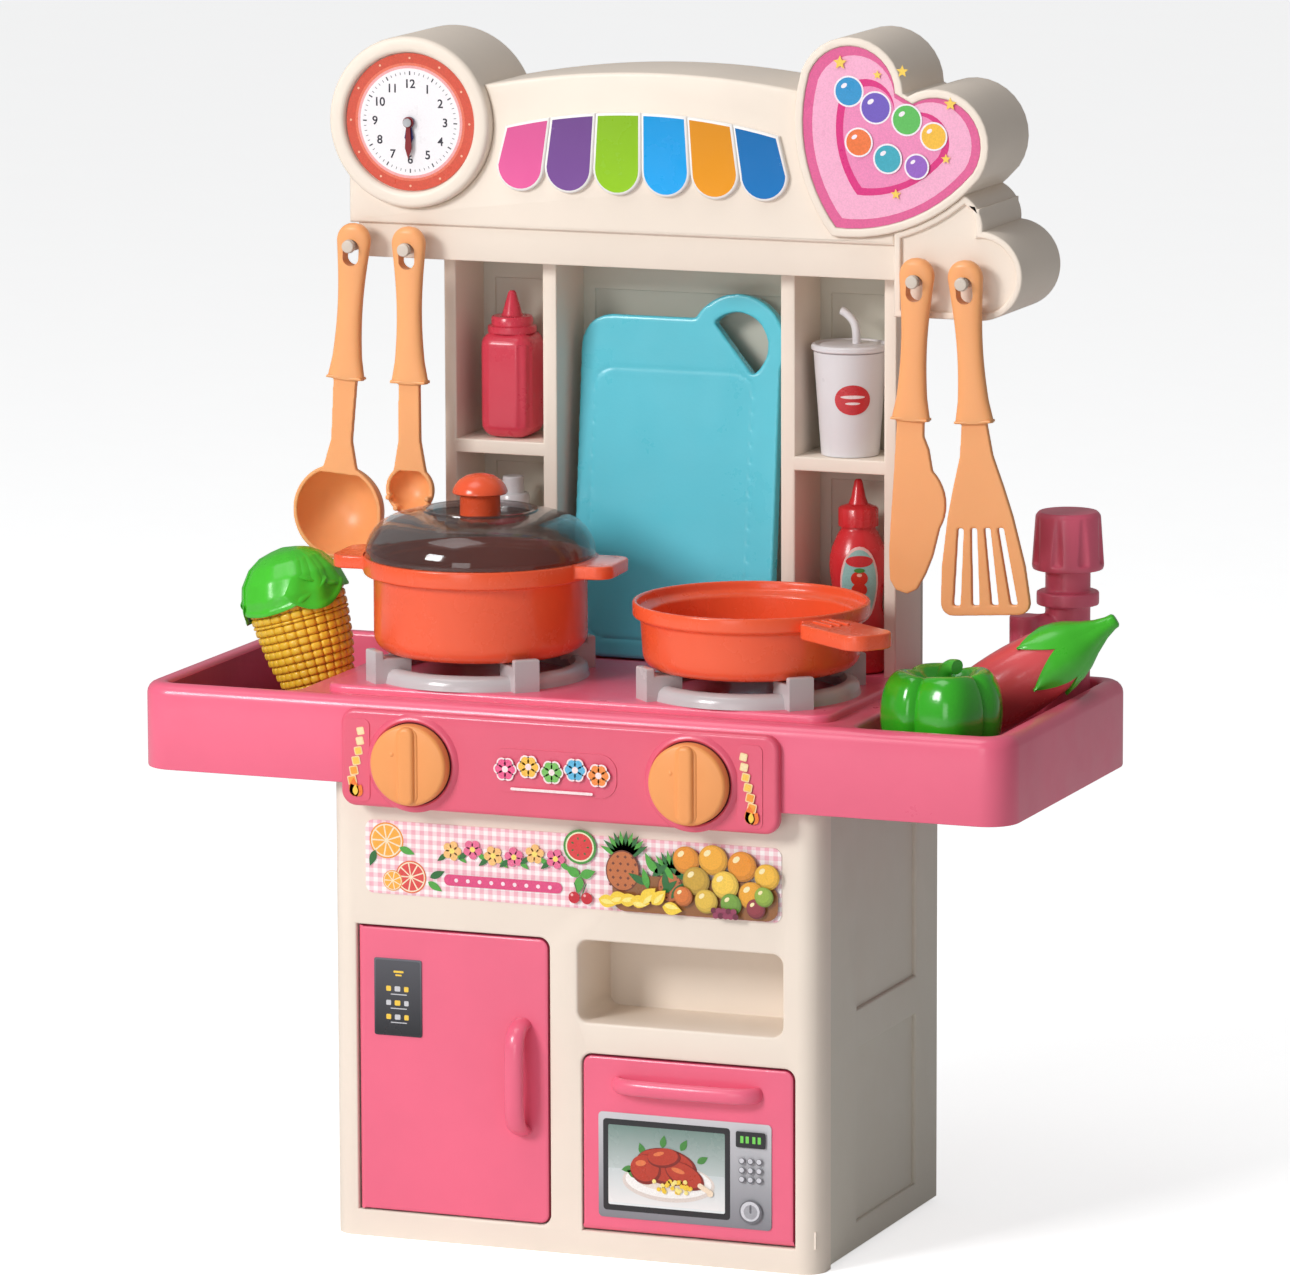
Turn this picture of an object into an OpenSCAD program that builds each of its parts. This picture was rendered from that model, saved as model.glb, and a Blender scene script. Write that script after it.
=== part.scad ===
// Toy kitchen: cabinet with fridge and oven, worktop with two trays and a hob,
// shelf unit with header, clock, heart and cloud, and the loose pots, tools and food.
// Frame: X to the viewer's right, -Y to the front, +Z up, origin on the floor under the cabinet's middle.

/* [Cabinet] */
// Width of the cabinet
cab_w = 239; // [236:1:242]
// Depth of the cabinet
cab_d = 159; // [156:1:161]
// Thickness of the moulded walls
wall = 2.4; // [2:0.2:2.6]
// Plan radius of the cabinet's front corners
cab_r = 10; // [8:1:12]

/* [Doors] */
// Width of the fridge opening
fridge_w = 95.4; // [94:0.2:96]
// Height of the fridge opening
fridge_h = 134; // [130:1:135]
// Width of the oven opening
oven_w = 103.4; // [102:0.2:104]
// Height of the oven opening
oven_h = 82.8; // [81:0.2:84]
// Gap round each door
door_gap = 0.5; // [0.4:0.1:0.6]

/* [Worktop] */
// Length of the worktop over both trays
top_w = 424; // [420:1:428]
// Depth of the worktop
top_d = 174; // [172:1:175]
// Height of the tray rims above the floor
rim_z = 253.5; // [253:0.5:254]
// Height of the skirt round the worktop
skirt_h = 40; // [36:1:41]
// Outer radius of a hob ring
burner_r = 50; // [48:1:51]

/* [Shelf unit] */
// Width over the two outer columns
unit_w = 224; // [222:1:226]
// Height of the top of the small shelves
shelf_z = 354.5; // [352:0.5:356]
// Height of the underside of the band above the shelves
band_z = 440; // [438:1:441]
// Radius of the clock drum
clock_r = 40; // [39:0.5:41]

/* [Pots] */
// Outer radius of the pot's body
pot_r = 49.2; // [48:0.2:50]
// Height of the pot without its lid
pot_h = 43.8; // [40:0.2:44]
// Outer radius of the pan's rim
pan_r = 54; // [53:0.5:54.5]
// Height of the pan
pan_h = 30.4; // [29:0.2:32]

/* [Hidden] */
$fn = 64;

CREAM = [0.91, 0.86, 0.80];
PINK = [0.93, 0.43, 0.54];
DEEP_PINK = [0.90, 0.38, 0.48];
PEACH = [0.97, 0.68, 0.45];
ORANGE = [0.93, 0.40, 0.22];
GREY = [0.74, 0.71, 0.70];
RED = [0.85, 0.25, 0.30];

// Main planes
front_y = -71.5;
rear_y = front_y + cab_d;
top_y0 = -80;
top_y1 = top_y0 + top_d;
skirt_z = rim_z - skirt_h;
deck_z = rim_z + 3.5;
cab_top = rim_z - wall;
tray_floor = 226;
clear = 0.3;
hinge_r = 3.6;
pin_r = 1.25;
pin_fit = 0.06;
jamb_d = 8.5;

// Openings in the front panel: left edge and bottom edge
fridge_x = -106.8;
fridge_z = 12.4;
oven_x = 4.2;
oven_z = 11.6;
niche_x = 2.4;
niche_z = 108.8;
niche_w = 99.4;
niche_h = 38;
niche_d = 34;
open_r = 5;

// Trays
tray_x0 = 135.6;
tray_x1 = top_w / 2 - 10;
tray_y0 = -72;
tray_y1 = 84;

// Hob
pot_x = -64.8;
pan_x = 68;
hob_y = -21;
prong_z = 268.5;

// Shelf unit
unit_y0 = 50.4;
unit_y1 = 84.5;
col_out = 6;
col_in = 7;
col_in_x = 55.5;
shelf_t = 6.5;
head_y0 = 34.6;
head_y1 = 87.5;
cover_t = 2;
shell_y1 = head_y1 - cover_t;
band_y0 = 37;
ledge_z = 456;
head_x0 = -153;
head_x1 = 121;
arch_top = 531;
arch_r = 430;
clock_x = -120.5;
clock_z = 504.3;
clock_y0 = 29;
heart_x = 87.3;
heart_z = 459.8;
heart_tilt = 28.4;
heart_y0 = 31;
cloud_y0 = 33;
peg_r = 2.6;
grip_y = 26;
pegs = [[-147, 446.5, band_y0], [-119.2, 446, band_y0], [130.5, 442, 36], [154, 442, 36]];

// ---- shared shapes ----

// A rectangle with round corners, about its own middle
module rrect(w, h, r) {
  square([w - 2 * r, h], center = true);
  square([w, h - 2 * r], center = true);
  for (sx = [-1, 1], sy = [-1, 1])
    translate([sx * (w / 2 - r), sy * (h / 2 - r)]) circle(r);
}

// Stands a flat X-Z outline up as a plate from y = y0, going back by t
module upright(y0, t) {
  translate([0, y0 + t, 0]) rotate([90, 0, 0]) linear_extrude(t) children();
}

// Lays a Y-Z outline along X, from x = x0 for a width w
module along_x(x0, w) {
  translate([x0, 0, 0]) rotate([90, 0, 90]) linear_extrude(w) children();
}

// Outline of one opening, grown by g
module opening2d(x, z, w, h, r, g = 0) {
  translate([x + w / 2, z + h / 2]) rrect(w + 2 * g, h + 2 * g, r + g);
}

// A round bar along X, centred
module bar_x(r, len) {
  rotate([0, 90, 0]) cylinder(r = r, h = len, center = true);
}

// Points of an arc
function arc(c, r, a0, a1, n) = [for (i = [0:n]) let(a = a0 + (a1 - a0) * i / n) c + r * [cos(a), sin(a)]];

// A bow handle seen from the side: two arcs over the same chord
module bow2d(half, rise, thick) {
  big = (half * half + rise * rise) / (2 * rise);
  in_half = half - thick * 1.5;
  in_rise = rise - thick;
  small = (in_half * in_half + in_rise * in_rise) / (2 * in_rise);
  difference() {
    intersection() {
      translate([0, rise - big]) circle(big, $fn = 128);
      translate([-half, 0]) square([2 * half, rise + 1]);
    }
    translate([0, in_rise - small]) circle(small, $fn = 128);
  }
}

// ---- cabinet ----

module cabinet_plan(inset = 0) {
  translate([0, front_y + cab_d / 2]) rrect(cab_w - 2 * inset, cab_d - 2 * inset, cab_r - inset);
}

wrap = 15;
screw_r = 1.5;
head_r = 3;
base_screw_x = 98;
base_screw_y = [-55, 70];
rear_screw_x = 105;
rear_screw_z = [24, 132];
boss_r = 4;

module fridge_axis() {
  translate([fridge_x + door_gap + hinge_r, front_y + hinge_r, 0]) children();
}

module oven_axis() {
  translate([0, front_y + hinge_r, oven_z + door_gap + hinge_r]) children();
}

// The door openings are square beside their hinges and round elsewhere
module fridge_hole2d(grow = 0) {
  opening2d(fridge_x, fridge_z, fridge_w, fridge_h, open_r, grow);
  translate([fridge_x - grow, fridge_z - grow]) square([8, fridge_h + 2 * grow]);
}

module oven_hole2d(grow = 0) {
  opening2d(oven_x, oven_z, oven_w, oven_h, open_r, grow);
  translate([oven_x - grow, oven_z - grow]) square([oven_w + 2 * grow, 8]);
}

module front_panel() color(CREAM) difference() {
  union() {
    difference() {
      linear_extrude(cab_top) cabinet_plan();
      translate([0, 0, -1]) linear_extrude(cab_top + 2) cabinet_plan(wall);
      translate([-cab_w, front_y + wrap, -1]) cube([2 * cab_w, cab_d, cab_top + 2]);
    }
    // Jambs round the three openings
    upright(front_y + wall, jamb_d - wall) {
      fridge_hole2d(1.6);
      oven_hole2d(1.6);
      opening2d(niche_x, niche_z, niche_w, niche_h, open_r, 1.6);
    }
    // Lugs that hold the hinge pins
    fridge_axis() for (z = [fridge_z - 9.4, fridge_z + fridge_h + 1.4])
      translate([-4, wall - hinge_r, z]) cube([8, jamb_d - wall, 8]);
    oven_axis() for (x = [oven_x - 9.4, oven_x + oven_w + 1.4])
      translate([x, wall - hinge_r, -4]) cube([8, jamb_d - wall, 8]);
  }
  upright(front_y - 1, jamb_d + 2) {
    fridge_hole2d();
    oven_hole2d();
    opening2d(niche_x, niche_z, niche_w, niche_h, open_r);
  }
  // Bores for the hinge pins
  fridge_axis() translate([0, 0, fridge_z - 8]) cylinder(r = pin_r, h = fridge_h + 16);
  oven_axis() translate([oven_x + oven_w / 2, 0, 0]) bar_x(pin_r, oven_w + 16);
}

// Side panel with two shallow panels pressed into its outer face
module side_panel(side) color(CREAM) {
  t = 3;
  len = cab_d - wrap;
  inner = cab_w / 2 - t;
  difference() {
    union() {
      translate([side > 0 ? inner : -cab_w / 2, front_y + wrap, 2]) cube([t, len, cab_top - 2]);
      // Screw bosses on ribs: upright ones for the base, level ones for the rear panel
      for (y = base_screw_y) translate([side * base_screw_x, y, 3.2]) {
        cylinder(r = boss_r, h = 5.6);
        translate([side > 0 ? 0 : base_screw_x - inner - 0.5, -1, 0]) cube([inner - base_screw_x + 0.5, 2, 5.6]);
      }
      for (z = rear_screw_z) translate([side * rear_screw_x, rear_y - 15, z]) {
        rotate([-90, 0, 0]) cylinder(r = boss_r, h = 11.8);
        translate([side > 0 ? 0 : rear_screw_x - inner - 0.5, 0, -1]) cube([inner - rear_screw_x + 0.5, 11.8, 2]);
      }
    }
    for (z = [[14, 81], [113, 101]])
      translate([side * cab_w / 2 - 1.2, front_y + 50, z[0]]) cube([2.4, 80, z[1]]);
    for (y = base_screw_y) translate([side * base_screw_x, y, 3]) cylinder(r = screw_r + pin_fit, h = 6.5);
    for (z = rear_screw_z) translate([side * rear_screw_x, rear_y - 12, z])
      rotate([-90, 0, 0]) cylinder(r = screw_r + pin_fit, h = 10);
  }
}

module side_panel_left() side_panel(-1);
module side_panel_right() side_panel(1);

module rear_panel() color(CREAM)
  difference() {
    translate([-cab_w / 2 + 3, rear_y - 3, 2]) cube([cab_w - 6, 3, cab_top - 2]);
    for (sx = [-1, 1], z = rear_screw_z) translate([sx * rear_screw_x, rear_y - 4, z])
      rotate([-90, 0, 0]) cylinder(r = screw_r + 0.2, h = 6);
  }

module base_plate() color(CREAM) difference() {
  linear_extrude(3) intersection() {
    cabinet_plan(3);
    translate([-cab_w / 2, front_y]) square([cab_w, cab_d - 3]);
  }
  for (sx = [-1, 1], y = base_screw_y) translate([sx * base_screw_x, y, -1]) {
    cylinder(r = screw_r + 0.2, h = 8);
    cylinder(r = head_r + clear, h = 3);
  }
}

// Open box behind an opening
module liner(x, z, w, h, depth, t = 1.6) {
  difference() {
    upright(front_y + jamb_d, depth) opening2d(x, z, w, h, open_r, t);
    upright(front_y + jamb_d - 1, depth - t + 1) opening2d(x, z, w, h, open_r);
  }
}

module fridge_liner() color(CREAM) {
  liner(fridge_x, fridge_z, fridge_w, fridge_h, 100);
  // Fixed shelf inside
  translate([fridge_x - 0.5, front_y + 24, fridge_z + 68]) cube([fridge_w + 1, 75, 2]);
}

module oven_liner() color(CREAM) liner(oven_x, oven_z, oven_w, oven_h, 90);
module niche_liner() color(CREAM) liner(niche_x, niche_z, niche_w, niche_h, niche_d);

// ---- doors ----

door_t = 2 * hinge_r;

module fridge_door() color(PINK) {
  w = fridge_w - 2 * door_gap;
  h = fridge_h - 2 * door_gap;
  z0 = fridge_z + door_gap;
  difference() {
    union() {
      fridge_axis() translate([0, 0, z0]) cylinder(r = hinge_r, h = h);
      upright(front_y, door_t) intersection() {
        opening2d(fridge_x, fridge_z, fridge_w, fridge_h, open_r, -door_gap);
        translate([fridge_x + door_gap + hinge_r, z0]) square([w - hinge_r, h]);
      }
      // Fills the corners beside the knuckle
      upright(front_y, door_t) translate([fridge_x + door_gap + hinge_r, z0]) square([6, h]);
    }
    // Hollow at the back
    translate([fridge_x + 12, front_y + wall, fridge_z + 8]) cube([fridge_w - 20, door_t, fridge_h - 16]);
    fridge_axis() for (z = [z0 - 4, z0 + h - 6]) translate([0, 0, z])
      cylinder(r = pin_r + pin_fit, h = 10);
  }
}

module fridge_hinge_pins() color(GREY) fridge_axis()
  for (z = [fridge_z - 8, fridge_z + fridge_h - 4.5]) translate([0, 0, z]) cylinder(r = pin_r, h = 12.5);

fridge_handle_x = -25;
fridge_handle_z = 81;

module fridge_handle() color(PINK)
  along_x(fridge_handle_x - 5, 10) translate([front_y, fridge_handle_z]) rotate(90) bow2d(28, 13, 5.5);

module fridge_display() color([0.25, 0.25, 0.27])
  upright(front_y - 0.5, 0.5) translate([-86, 113.5]) rrect(23.5, 36, 1);

module oven_door() color(PINK) {
  w = oven_w - 2 * door_gap;
  h = oven_h - 2 * door_gap;
  z0 = oven_z + door_gap;
  difference() {
    union() {
      oven_axis() translate([oven_x + oven_w / 2, 0, 0]) bar_x(hinge_r, w);
      upright(front_y, door_t) intersection() {
        opening2d(oven_x, oven_z, oven_w, oven_h, open_r, -door_gap);
        translate([oven_x + door_gap, z0 + hinge_r]) square([w, h - hinge_r]);
      }
      upright(front_y, door_t) translate([oven_x + door_gap, z0 + hinge_r]) square([w, 6]);
    }
    translate([oven_x + 8, front_y + wall, oven_z + 12]) cube([oven_w - 16, door_t, oven_h - 20]);
    oven_axis() for (x = [oven_x - 3.5, oven_x + oven_w - 6.5]) translate([x + 5, 0, 0])
      bar_x(pin_r + pin_fit, 10);
  }
}

module oven_hinge_pins() color(GREY) oven_axis()
  for (x = [oven_x - 8, oven_x + oven_w - 4.5]) translate([x + 6.25, 0, 0]) bar_x(pin_r, 12.5);

oven_handle_x = 55.9;
oven_handle_z = 81.5;

module oven_handle() color(PINK) translate([oven_handle_x, front_y, oven_handle_z - 4])
  linear_extrude(8) mirror([0, 1, 0]) bow2d(37, 9.5, 4.5);

module oven_sticker() color([0.68, 0.68, 0.68])
  upright(front_y - 0.5, 0.5) translate([54.6, 43.7]) rrect(84, 49, 2);

module banner_sticker() color([0.97, 0.82, 0.84])
  upright(front_y - 0.5, 0.5) translate([0, 178.7]) rrect(203, 34, 4);

// ---- worktop ----

module tray_plan(side, g = 0) {
  cx = side * (tray_x0 + tray_x1) / 2;
  cy = (tray_y0 + tray_y1) / 2;
  translate([cx, cy]) rrect(tray_x1 - tray_x0 + 2 * g, tray_y1 - tray_y0 + 2 * g, 7 + g);
}

module worktop_plan(g = 0) {
  translate([0, (top_y0 + top_y1) / 2]) rrect(top_w + 2 * g, top_d + 2 * g, 15 + g);
}

module worktop() color(PINK) difference() {
  union() {
    translate([0, 0, skirt_z]) linear_extrude(skirt_h) worktop_plan();
    // Raised hob plateau
    translate([0, -17, rim_z - 1]) linear_extrude(deck_z - rim_z + 1) rrect(246, 106, 10);
  }
  difference() {
    translate([0, 0, skirt_z - 1]) linear_extrude(skirt_h - wall + 1) worktop_plan(-wall);
    for (side = [-1, 1]) translate([0, 0, tray_floor - wall]) linear_extrude(skirt_h) tray_plan(side, wall);
  }
  for (side = [-1, 1]) translate([0, 0, tray_floor]) linear_extrude(skirt_h) tray_plan(side);
}

panel_x = -2;
panel_z = 226.5;
panel_y = top_y0 - 4;

knob_x = [-72.5, 63];
knob_z = 225.5;
knob_r = 18.6;

// Control plate on the front of the skirt, with a return lip underneath
module control_panel() color(DEEP_PINK) difference() {
  union() {
    upright(panel_y, 4) translate([panel_x, panel_z]) rrect(213, 45, 7);
    translate([panel_x - 96, top_y0, skirt_z - 8]) cube([192, front_y - top_y0 - clear, 2.4]);
    for (x = knob_x) upright(panel_y - 1.5, 1.5) translate([x, knob_z]) difference() {
      circle(knob_r + 2.2);
      circle(knob_r + 0.8);
    }
  }
  for (x = knob_x) translate([x, panel_y - 1, knob_z]) rotate([-90, 0, 0])
    cylinder(r = 3 + pin_fit, h = 20);
}

// Heat scales beside the knobs and the flower motif between them
module panel_stickers() color([0.98, 0.80, 0.45]) {
  for (x = [-99.8, 91]) upright(panel_y - 0.4, 0.4) translate([x, knob_z]) rrect(12, 38, 3);
  upright(panel_y - 0.4, 0.4) translate([-4, 225.5]) rrect(62, 20, 8);
}

module knob(x) color(PEACH) translate([x, 0, knob_z]) {
  rotate([90, 0, 0]) difference() {
    translate([0, 0, -panel_y + 0.4]) cylinder(r = knob_r, h = 7);
    translate([0, 0, -panel_y - 1]) difference() {
      cylinder(r = knob_r - 2, h = 5.4);
      cylinder(r = 5, h = 6);
    }
  }
  // Raised pointer ridge
  upright(panel_y - 10, 3) intersection() {
    rrect(7.6, 2 * knob_r, 1);
    circle(knob_r - 0.2);
  }
  // Spindle through the plate
  translate([0, panel_y - 1, 0]) rotate([-90, 0, 0]) cylinder(r = 3, h = 4.7);
}

module knob_left() knob(knob_x[0]);
module knob_right() knob(knob_x[1]);

// Hob ring with four posts; each has a ledge that carries the pot
module burner(x) color(GREY) translate([x, hob_y, deck_z]) {
  rotate_extrude($fn = 96) polygon([[burner_r - 9, 0], [burner_r, 0], [burner_r - 1, 4.5],
    [burner_r - 3.5, 6.5], [burner_r - 6.5, 6.5], [burner_r - 9, 4]]);
  for (a = [45:90:315]) rotate(a) {
    translate([burner_r - 13, -6, 0]) difference() {
      cube([17.6, 12, prong_z - deck_z]);
      translate([-1, -1, -1]) cube([5, 14, 6]);
    }
    translate([burner_r + 0.4, -6, 0]) cube([4.2, 12, 15]);
  }
}

module burner_left() burner(pot_x);
module burner_right() burner(pan_x);

// ---- pots ----

pot_z = prong_z + clear;

// Side ears, as flat tabs with round outer corners
module pot_ears(r) {
  rotate(4) for (s = [-1, 1]) translate([s * (r + 5.3), 0]) rrect(26, 36, 8);
}

module pot() color(ORANGE) translate([pot_x, hob_y, pot_z]) {
  rotate_extrude($fn = 96) polygon(concat(
    [[0, 0], [pot_r - 8, 0]],
    arc([pot_r - 8, 8], 8, -90, 0, 6),
    [[pot_r, pot_h - 8.6], [pot_r + 4.6, pot_h - 8], [pot_r + 4.6, pot_h], [pot_r + 0.6, pot_h],
     [pot_r + 0.6, pot_h - 3], [pot_r - wall, pot_h - 3.6], [pot_r - wall, 8],
     [pot_r - wall - 5, wall], [0, wall]]));
  translate([0, 0, pot_h - 6.5]) linear_extrude(6) difference() {
    pot_ears(pot_r);
    circle(pot_r + 4);
  }
}

lid_z = pot_z + pot_h;
lid_h = 18.4;

// Clear lid: a round-shouldered dome with a raised ring round the seat of its knob
module pot_lid() color([0.45, 0.38, 0.36, 0.7]) translate([pot_x, hob_y, lid_z])
  rotate_extrude($fn = 96) polygon([[52.9, clear], [53, 2.6], [52.4, 5.6], [51, 9], [49, 12.1], [46.2, 14.8],
    [42, 17.1], [36, 19], [30, 20.2], [26.8, 20.8], [26.6, 21.5], [25, 21.6], [23.9, 20.6], [23.4, lid_h],
    [0, lid_h], [0, lid_h - 2], [25.4, lid_h - 2], [26, 18.6], [30, 18.1], [35.4, 17], [41, 15.2],
    [44.8, 13.1], [47.3, 10.8], [49.2, 7.8], [50.4, 5], [50.9, 2.6], [50.8, clear]]);

module pot_lid_knob() color(ORANGE) translate([pot_x, hob_y, lid_z + lid_h])
  rotate_extrude() polygon([[0, 0.02], [9.4, 0.02], [9.2, 9.8], [12.6, 10.1], [12.7, 11], [12, 13.2], [10.2, 15.8],
    [6.6, 18.2], [0, 19.2]]);

pan_a = -36;

module pan() color(ORANGE) translate([pan_x, hob_y, pot_z]) {
  br = pan_r - 4.5;
  rotate_extrude($fn = 96) polygon(concat(
    [[0, 0], [br - 7, 0]],
    arc([br - 7, 7], 7, -90, 0, 6),
    [[br + 1, pan_h - 8], [pan_r, pan_h - 6.5], [pan_r, pan_h], [pan_r - 2, pan_h],
     [pan_r - 2.5, pan_h - 4], [br - wall, pan_h - 6], [br - wall, 7], [br - wall - 5, wall], [0, wall]]));
  // Paddle handle
  rotate(pan_a) translate([0, 0, pan_h - 9]) linear_extrude(7) difference() {
    translate([pan_r + 22.5, 0]) rrect(48, 25, 9);
    circle(pan_r - 1);
  }
}

// ---- shelf unit ----

module shelf_frame() color(CREAM) difference() {
  union() {
    translate([0, unit_y0, rim_z]) {
      for (s = [-1, 1]) {
        translate([s * (unit_w / 2 - col_out / 2) - col_out / 2, 0, 0])
          cube([col_out, unit_y1 - unit_y0, band_z - rim_z]);
        translate([s * (col_in_x + col_in / 2) - col_in / 2, 0, 0])
          cube([col_in, unit_y1 - unit_y0, band_z - rim_z]);
      }
    }
    for (s = [-1, 1]) translate([s > 0 ? col_in_x + 1 : -unit_w / 2 + 1, unit_y0, shelf_z - shelf_t])
      cube([unit_w / 2 - col_in_x - 2, unit_y1 - unit_y0, shelf_t]);
  }
}

module back_panel() color(CREAM) difference() {
  translate([-unit_w / 2, unit_y1, rim_z]) cube([unit_w, 3, band_z - rim_z]);
  translate([-col_in_x + 6, unit_y1 - 1, rim_z + 14]) cube([2 * col_in_x - 12, 2, 156]);
  for (s = [-1, 1], z = [rim_z + 12, shelf_z + 10])
    translate([s * 84 - 16, unit_y1 - 1, z]) cube([32, 2, z < shelf_z ? 74 : 62]);
}

module clock2d(g = 0) {
  translate([clock_x, clock_z]) circle(clock_r + g, $fn = 96);
}

// Heart outline: a long arc for each side and a round lobe, from the tip at 0,0
function heart_half(g) = concat(
  [[0, -1.15 * g]],
  arc([-32.6, 76.5], 83.1 + g, -62, -12.8, 10),
  arc([23.4, 62], 25.5 + g, -6, 150, 14));

module heart_local(g = 0) {
  side = heart_half(g);
  n = len(side) - 1;
  polygon(concat(side, [for (i = [n:-1:1]) [-side[i][0], side[i][1]]]));
}

module heart2d(g = 0) {
  translate([heart_x, heart_z]) rotate(-heart_tilt) heart_local(g);
}

module cloud_body2d(g = 0) {
  translate([158, 444.3]) circle(20.4 + g);
  translate([143, 466]) circle(16.5 + g);
  translate([124.9, 475]) circle(8 + g);
  translate([116.9 - g, 423.9 - g]) square([41.1 + 2 * g, 51 + g]);
  translate([124.9, 460]) square([18, 22.5 + g]);
}

module cloud2d(g = 0) {
  difference() {
    cloud_body2d(g);
    heart2d(-g);
  }
}

// Header outline above the ledge, inset by g
module header2d(g = 0) {
  difference() {
    intersection() {
      translate([(head_x0 + head_x1) / 2, 0]) translate([-(head_x1 - head_x0) / 2 + g, ledge_z + g])
        square([head_x1 - head_x0 - 2 * g, 100]);
      translate([0, arch_top - arch_r]) circle(arch_r - g, $fn = 256);
      translate([head_x0 + g, ledge_z]) square([300, 100]);
    }
    clock2d(g);
    heart2d(g);
    cloud_body2d(g);
    // Nothing of the header stands outside the clock
    translate([head_x0 - 1, clock_z]) square([clock_x - head_x0 + 1, 60]);
  }
}

module band2d(g = 0) {
  difference() {
    translate([-149 + g, band_z + g]) square([270 - 2 * g, ledge_z - band_z - g + (g > 0 ? 4 : 0)]);
    cloud_body2d(g);
  }
}

module header_shell() color(CREAM) difference() {
  union() {
    upright(head_y0, shell_y1 - head_y0) header2d();
    upright(band_y0, shell_y1 - band_y0) band2d();
  }
  upright(head_y0 + wall, 60) header2d(wall);
  upright(band_y0 + wall, 60) band2d(wall);
}

module header_back_cover() color(CREAM) upright(head_y1 - cover_t, cover_t) {
  header2d();
  band2d();
  clock2d();
  heart2d();
  cloud_body2d();
}

awning_x = -6;
awning_w = 144;
awning_z = 513;
awning_n = 6;

// Six striped tongues in relief, each with a round lower end
module awning() color([0.95, 0.95, 0.95]) {
  pitch = awning_w / awning_n;
  for (i = [0:awning_n - 1]) {
    off = i - (awning_n - 1) / 2;
    drop = 1.1 * abs(off);
    upright(head_y0 - 2.4, 2.4) translate([awning_x + off * pitch, 0]) {
      translate([0, 486]) circle(pitch / 2 - 0.5);
      translate([-pitch / 2 + 0.5, 486]) square([pitch - 1, awning_z - 486 - drop - 8]);
      translate([0, awning_z - drop - 8]) rrect(pitch - 1, 14, 5);
    }
  }
}

module clock_housing() color(CREAM) translate([clock_x, 0, clock_z]) rotate([-90, 0, 0]) difference() {
  translate([0, 0, clock_y0]) cylinder(r = clock_r, h = shell_y1 - clock_y0, $fn = 96);
  translate([0, 0, clock_y0 - 1]) cylinder(r = 32.4, h = 4.5, $fn = 96);
  translate([0, 0, clock_y0 + 6]) cylinder(r = clock_r - wall, h = 60, $fn = 96);
}

module clock_face() color([0.95, 0.93, 0.92]) translate([clock_x, clock_y0 + 2.7, clock_z])
  rotate([-90, 0, 0]) difference() {
    cylinder(r = 32, h = 0.8, $fn = 96);
    translate([0, 0, -1]) cylinder(r = 1.4, h = 3);
  }

module clock_pivot() color(GREY) translate([clock_x, 0, clock_z]) rotate([-90, 0, 0]) {
  translate([0, 0, clock_y0 - 1.2]) cylinder(r = 2, h = 0.6);
  translate([0, 0, clock_y0 - 1]) cylinder(r = 1.4, h = 4.5);
}

// A hand that hangs down from the pivot
module clock_hand(y, len, w, tip) {
  upright(y, 0.7) translate([clock_x, clock_z]) difference() {
    union() {
      circle(2.6);
      polygon([[-0.8, 0], [-w / 2, -len * tip], [0, -len], [w / 2, -len * tip], [0.8, 0]]);
    }
    circle(1.4 + pin_fit);
  }
}

module clock_hour_hand() color([0.12, 0.14, 0.35]) clock_hand(clock_y0 + 1, 12, 4.4, 0.6);
module clock_minute_hand() color([0.55, 0.10, 0.10]) clock_hand(clock_y0 + 0, 17, 3.2, 0.7);

module heart_housing() color(CREAM) difference() {
  upright(heart_y0, shell_y1 - heart_y0) heart2d();
  upright(heart_y0 - 1, 2.4) heart2d(-4);
  upright(heart_y0 + 4, 60) heart2d(-3);
}

module heart_badge() color([0.93, 0.45, 0.70]) upright(heart_y0 + 0.8, 0.6) heart2d(-4.2);

module cloud_panel() color(CREAM) difference() {
  upright(cloud_y0, shell_y1 - cloud_y0) cloud2d();
  upright(cloud_y0 - 1, 3) cloud2d(-3.2);
  upright(cloud_y0 + 5, 60) cloud2d(-wall);
}

module utensil_pegs() color(GREY)
  for (p = pegs) translate([p[0], 0, p[1]]) rotate([-90, 0, 0]) {
    translate([0, 0, 20]) cylinder(r = peg_r, h = p[2] - 20 - (p[0] > 0 ? 1 : 0));
    translate([0, 0, 18.2]) cylinder(r = peg_r + 0.4, h = 2);
  }

// ---- faucet ----

tap = [188, 72];
tap_r = 10.4;
tap_cap_z = 306;

module faucet_base() color(DEEP_PINK) translate([tap[0], tap[1], 0]) {
  translate([0, 0, tray_floor]) cylinder(r = tap_r, h = 94);
  translate([0, 0, 289.6]) cylinder(r = 14.4, h = 6.4);
  rotate(-135) translate([0, 0, 279]) rotate([0, 90, 0]) cylinder(r = 7, h = 22);
  rotate(-135) translate([22, 0, 268]) cylinder(r = 7, h = 18);
}

// Pump head: fluted outside, bored to slide on the stem
module faucet_cap() color(RED) translate([tap[0], tap[1], tap_cap_z]) difference() {
  union() {
    rotate_extrude() polygon([[0, 0], [16.2, 0], [16.6, 2], [15, 25], [13.5, 26.8], [0, 26.8]]);
  }
  translate([0, 0, -1]) cylinder(r = tap_r + 0.08, h = 21.5);
  for (i = [0:7]) rotate(i * 45) translate([18.2, 0, 3]) cylinder(r = 3.4, h = 30, $fn = 24);
}

// ---- hanging tools ----

// Half width of a grip at height t from 0 (top) to 1 (bottom)
function grip_w(t) = t < 0.12 ? 8.3 * sin(90 * (0.35 + 0.65 * t / 0.12))
  : 8.3 - 2.3 * sin(180 * (t - 0.12) / 0.88) + 0.8 * max(0, t - 0.85) / 0.15;

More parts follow.
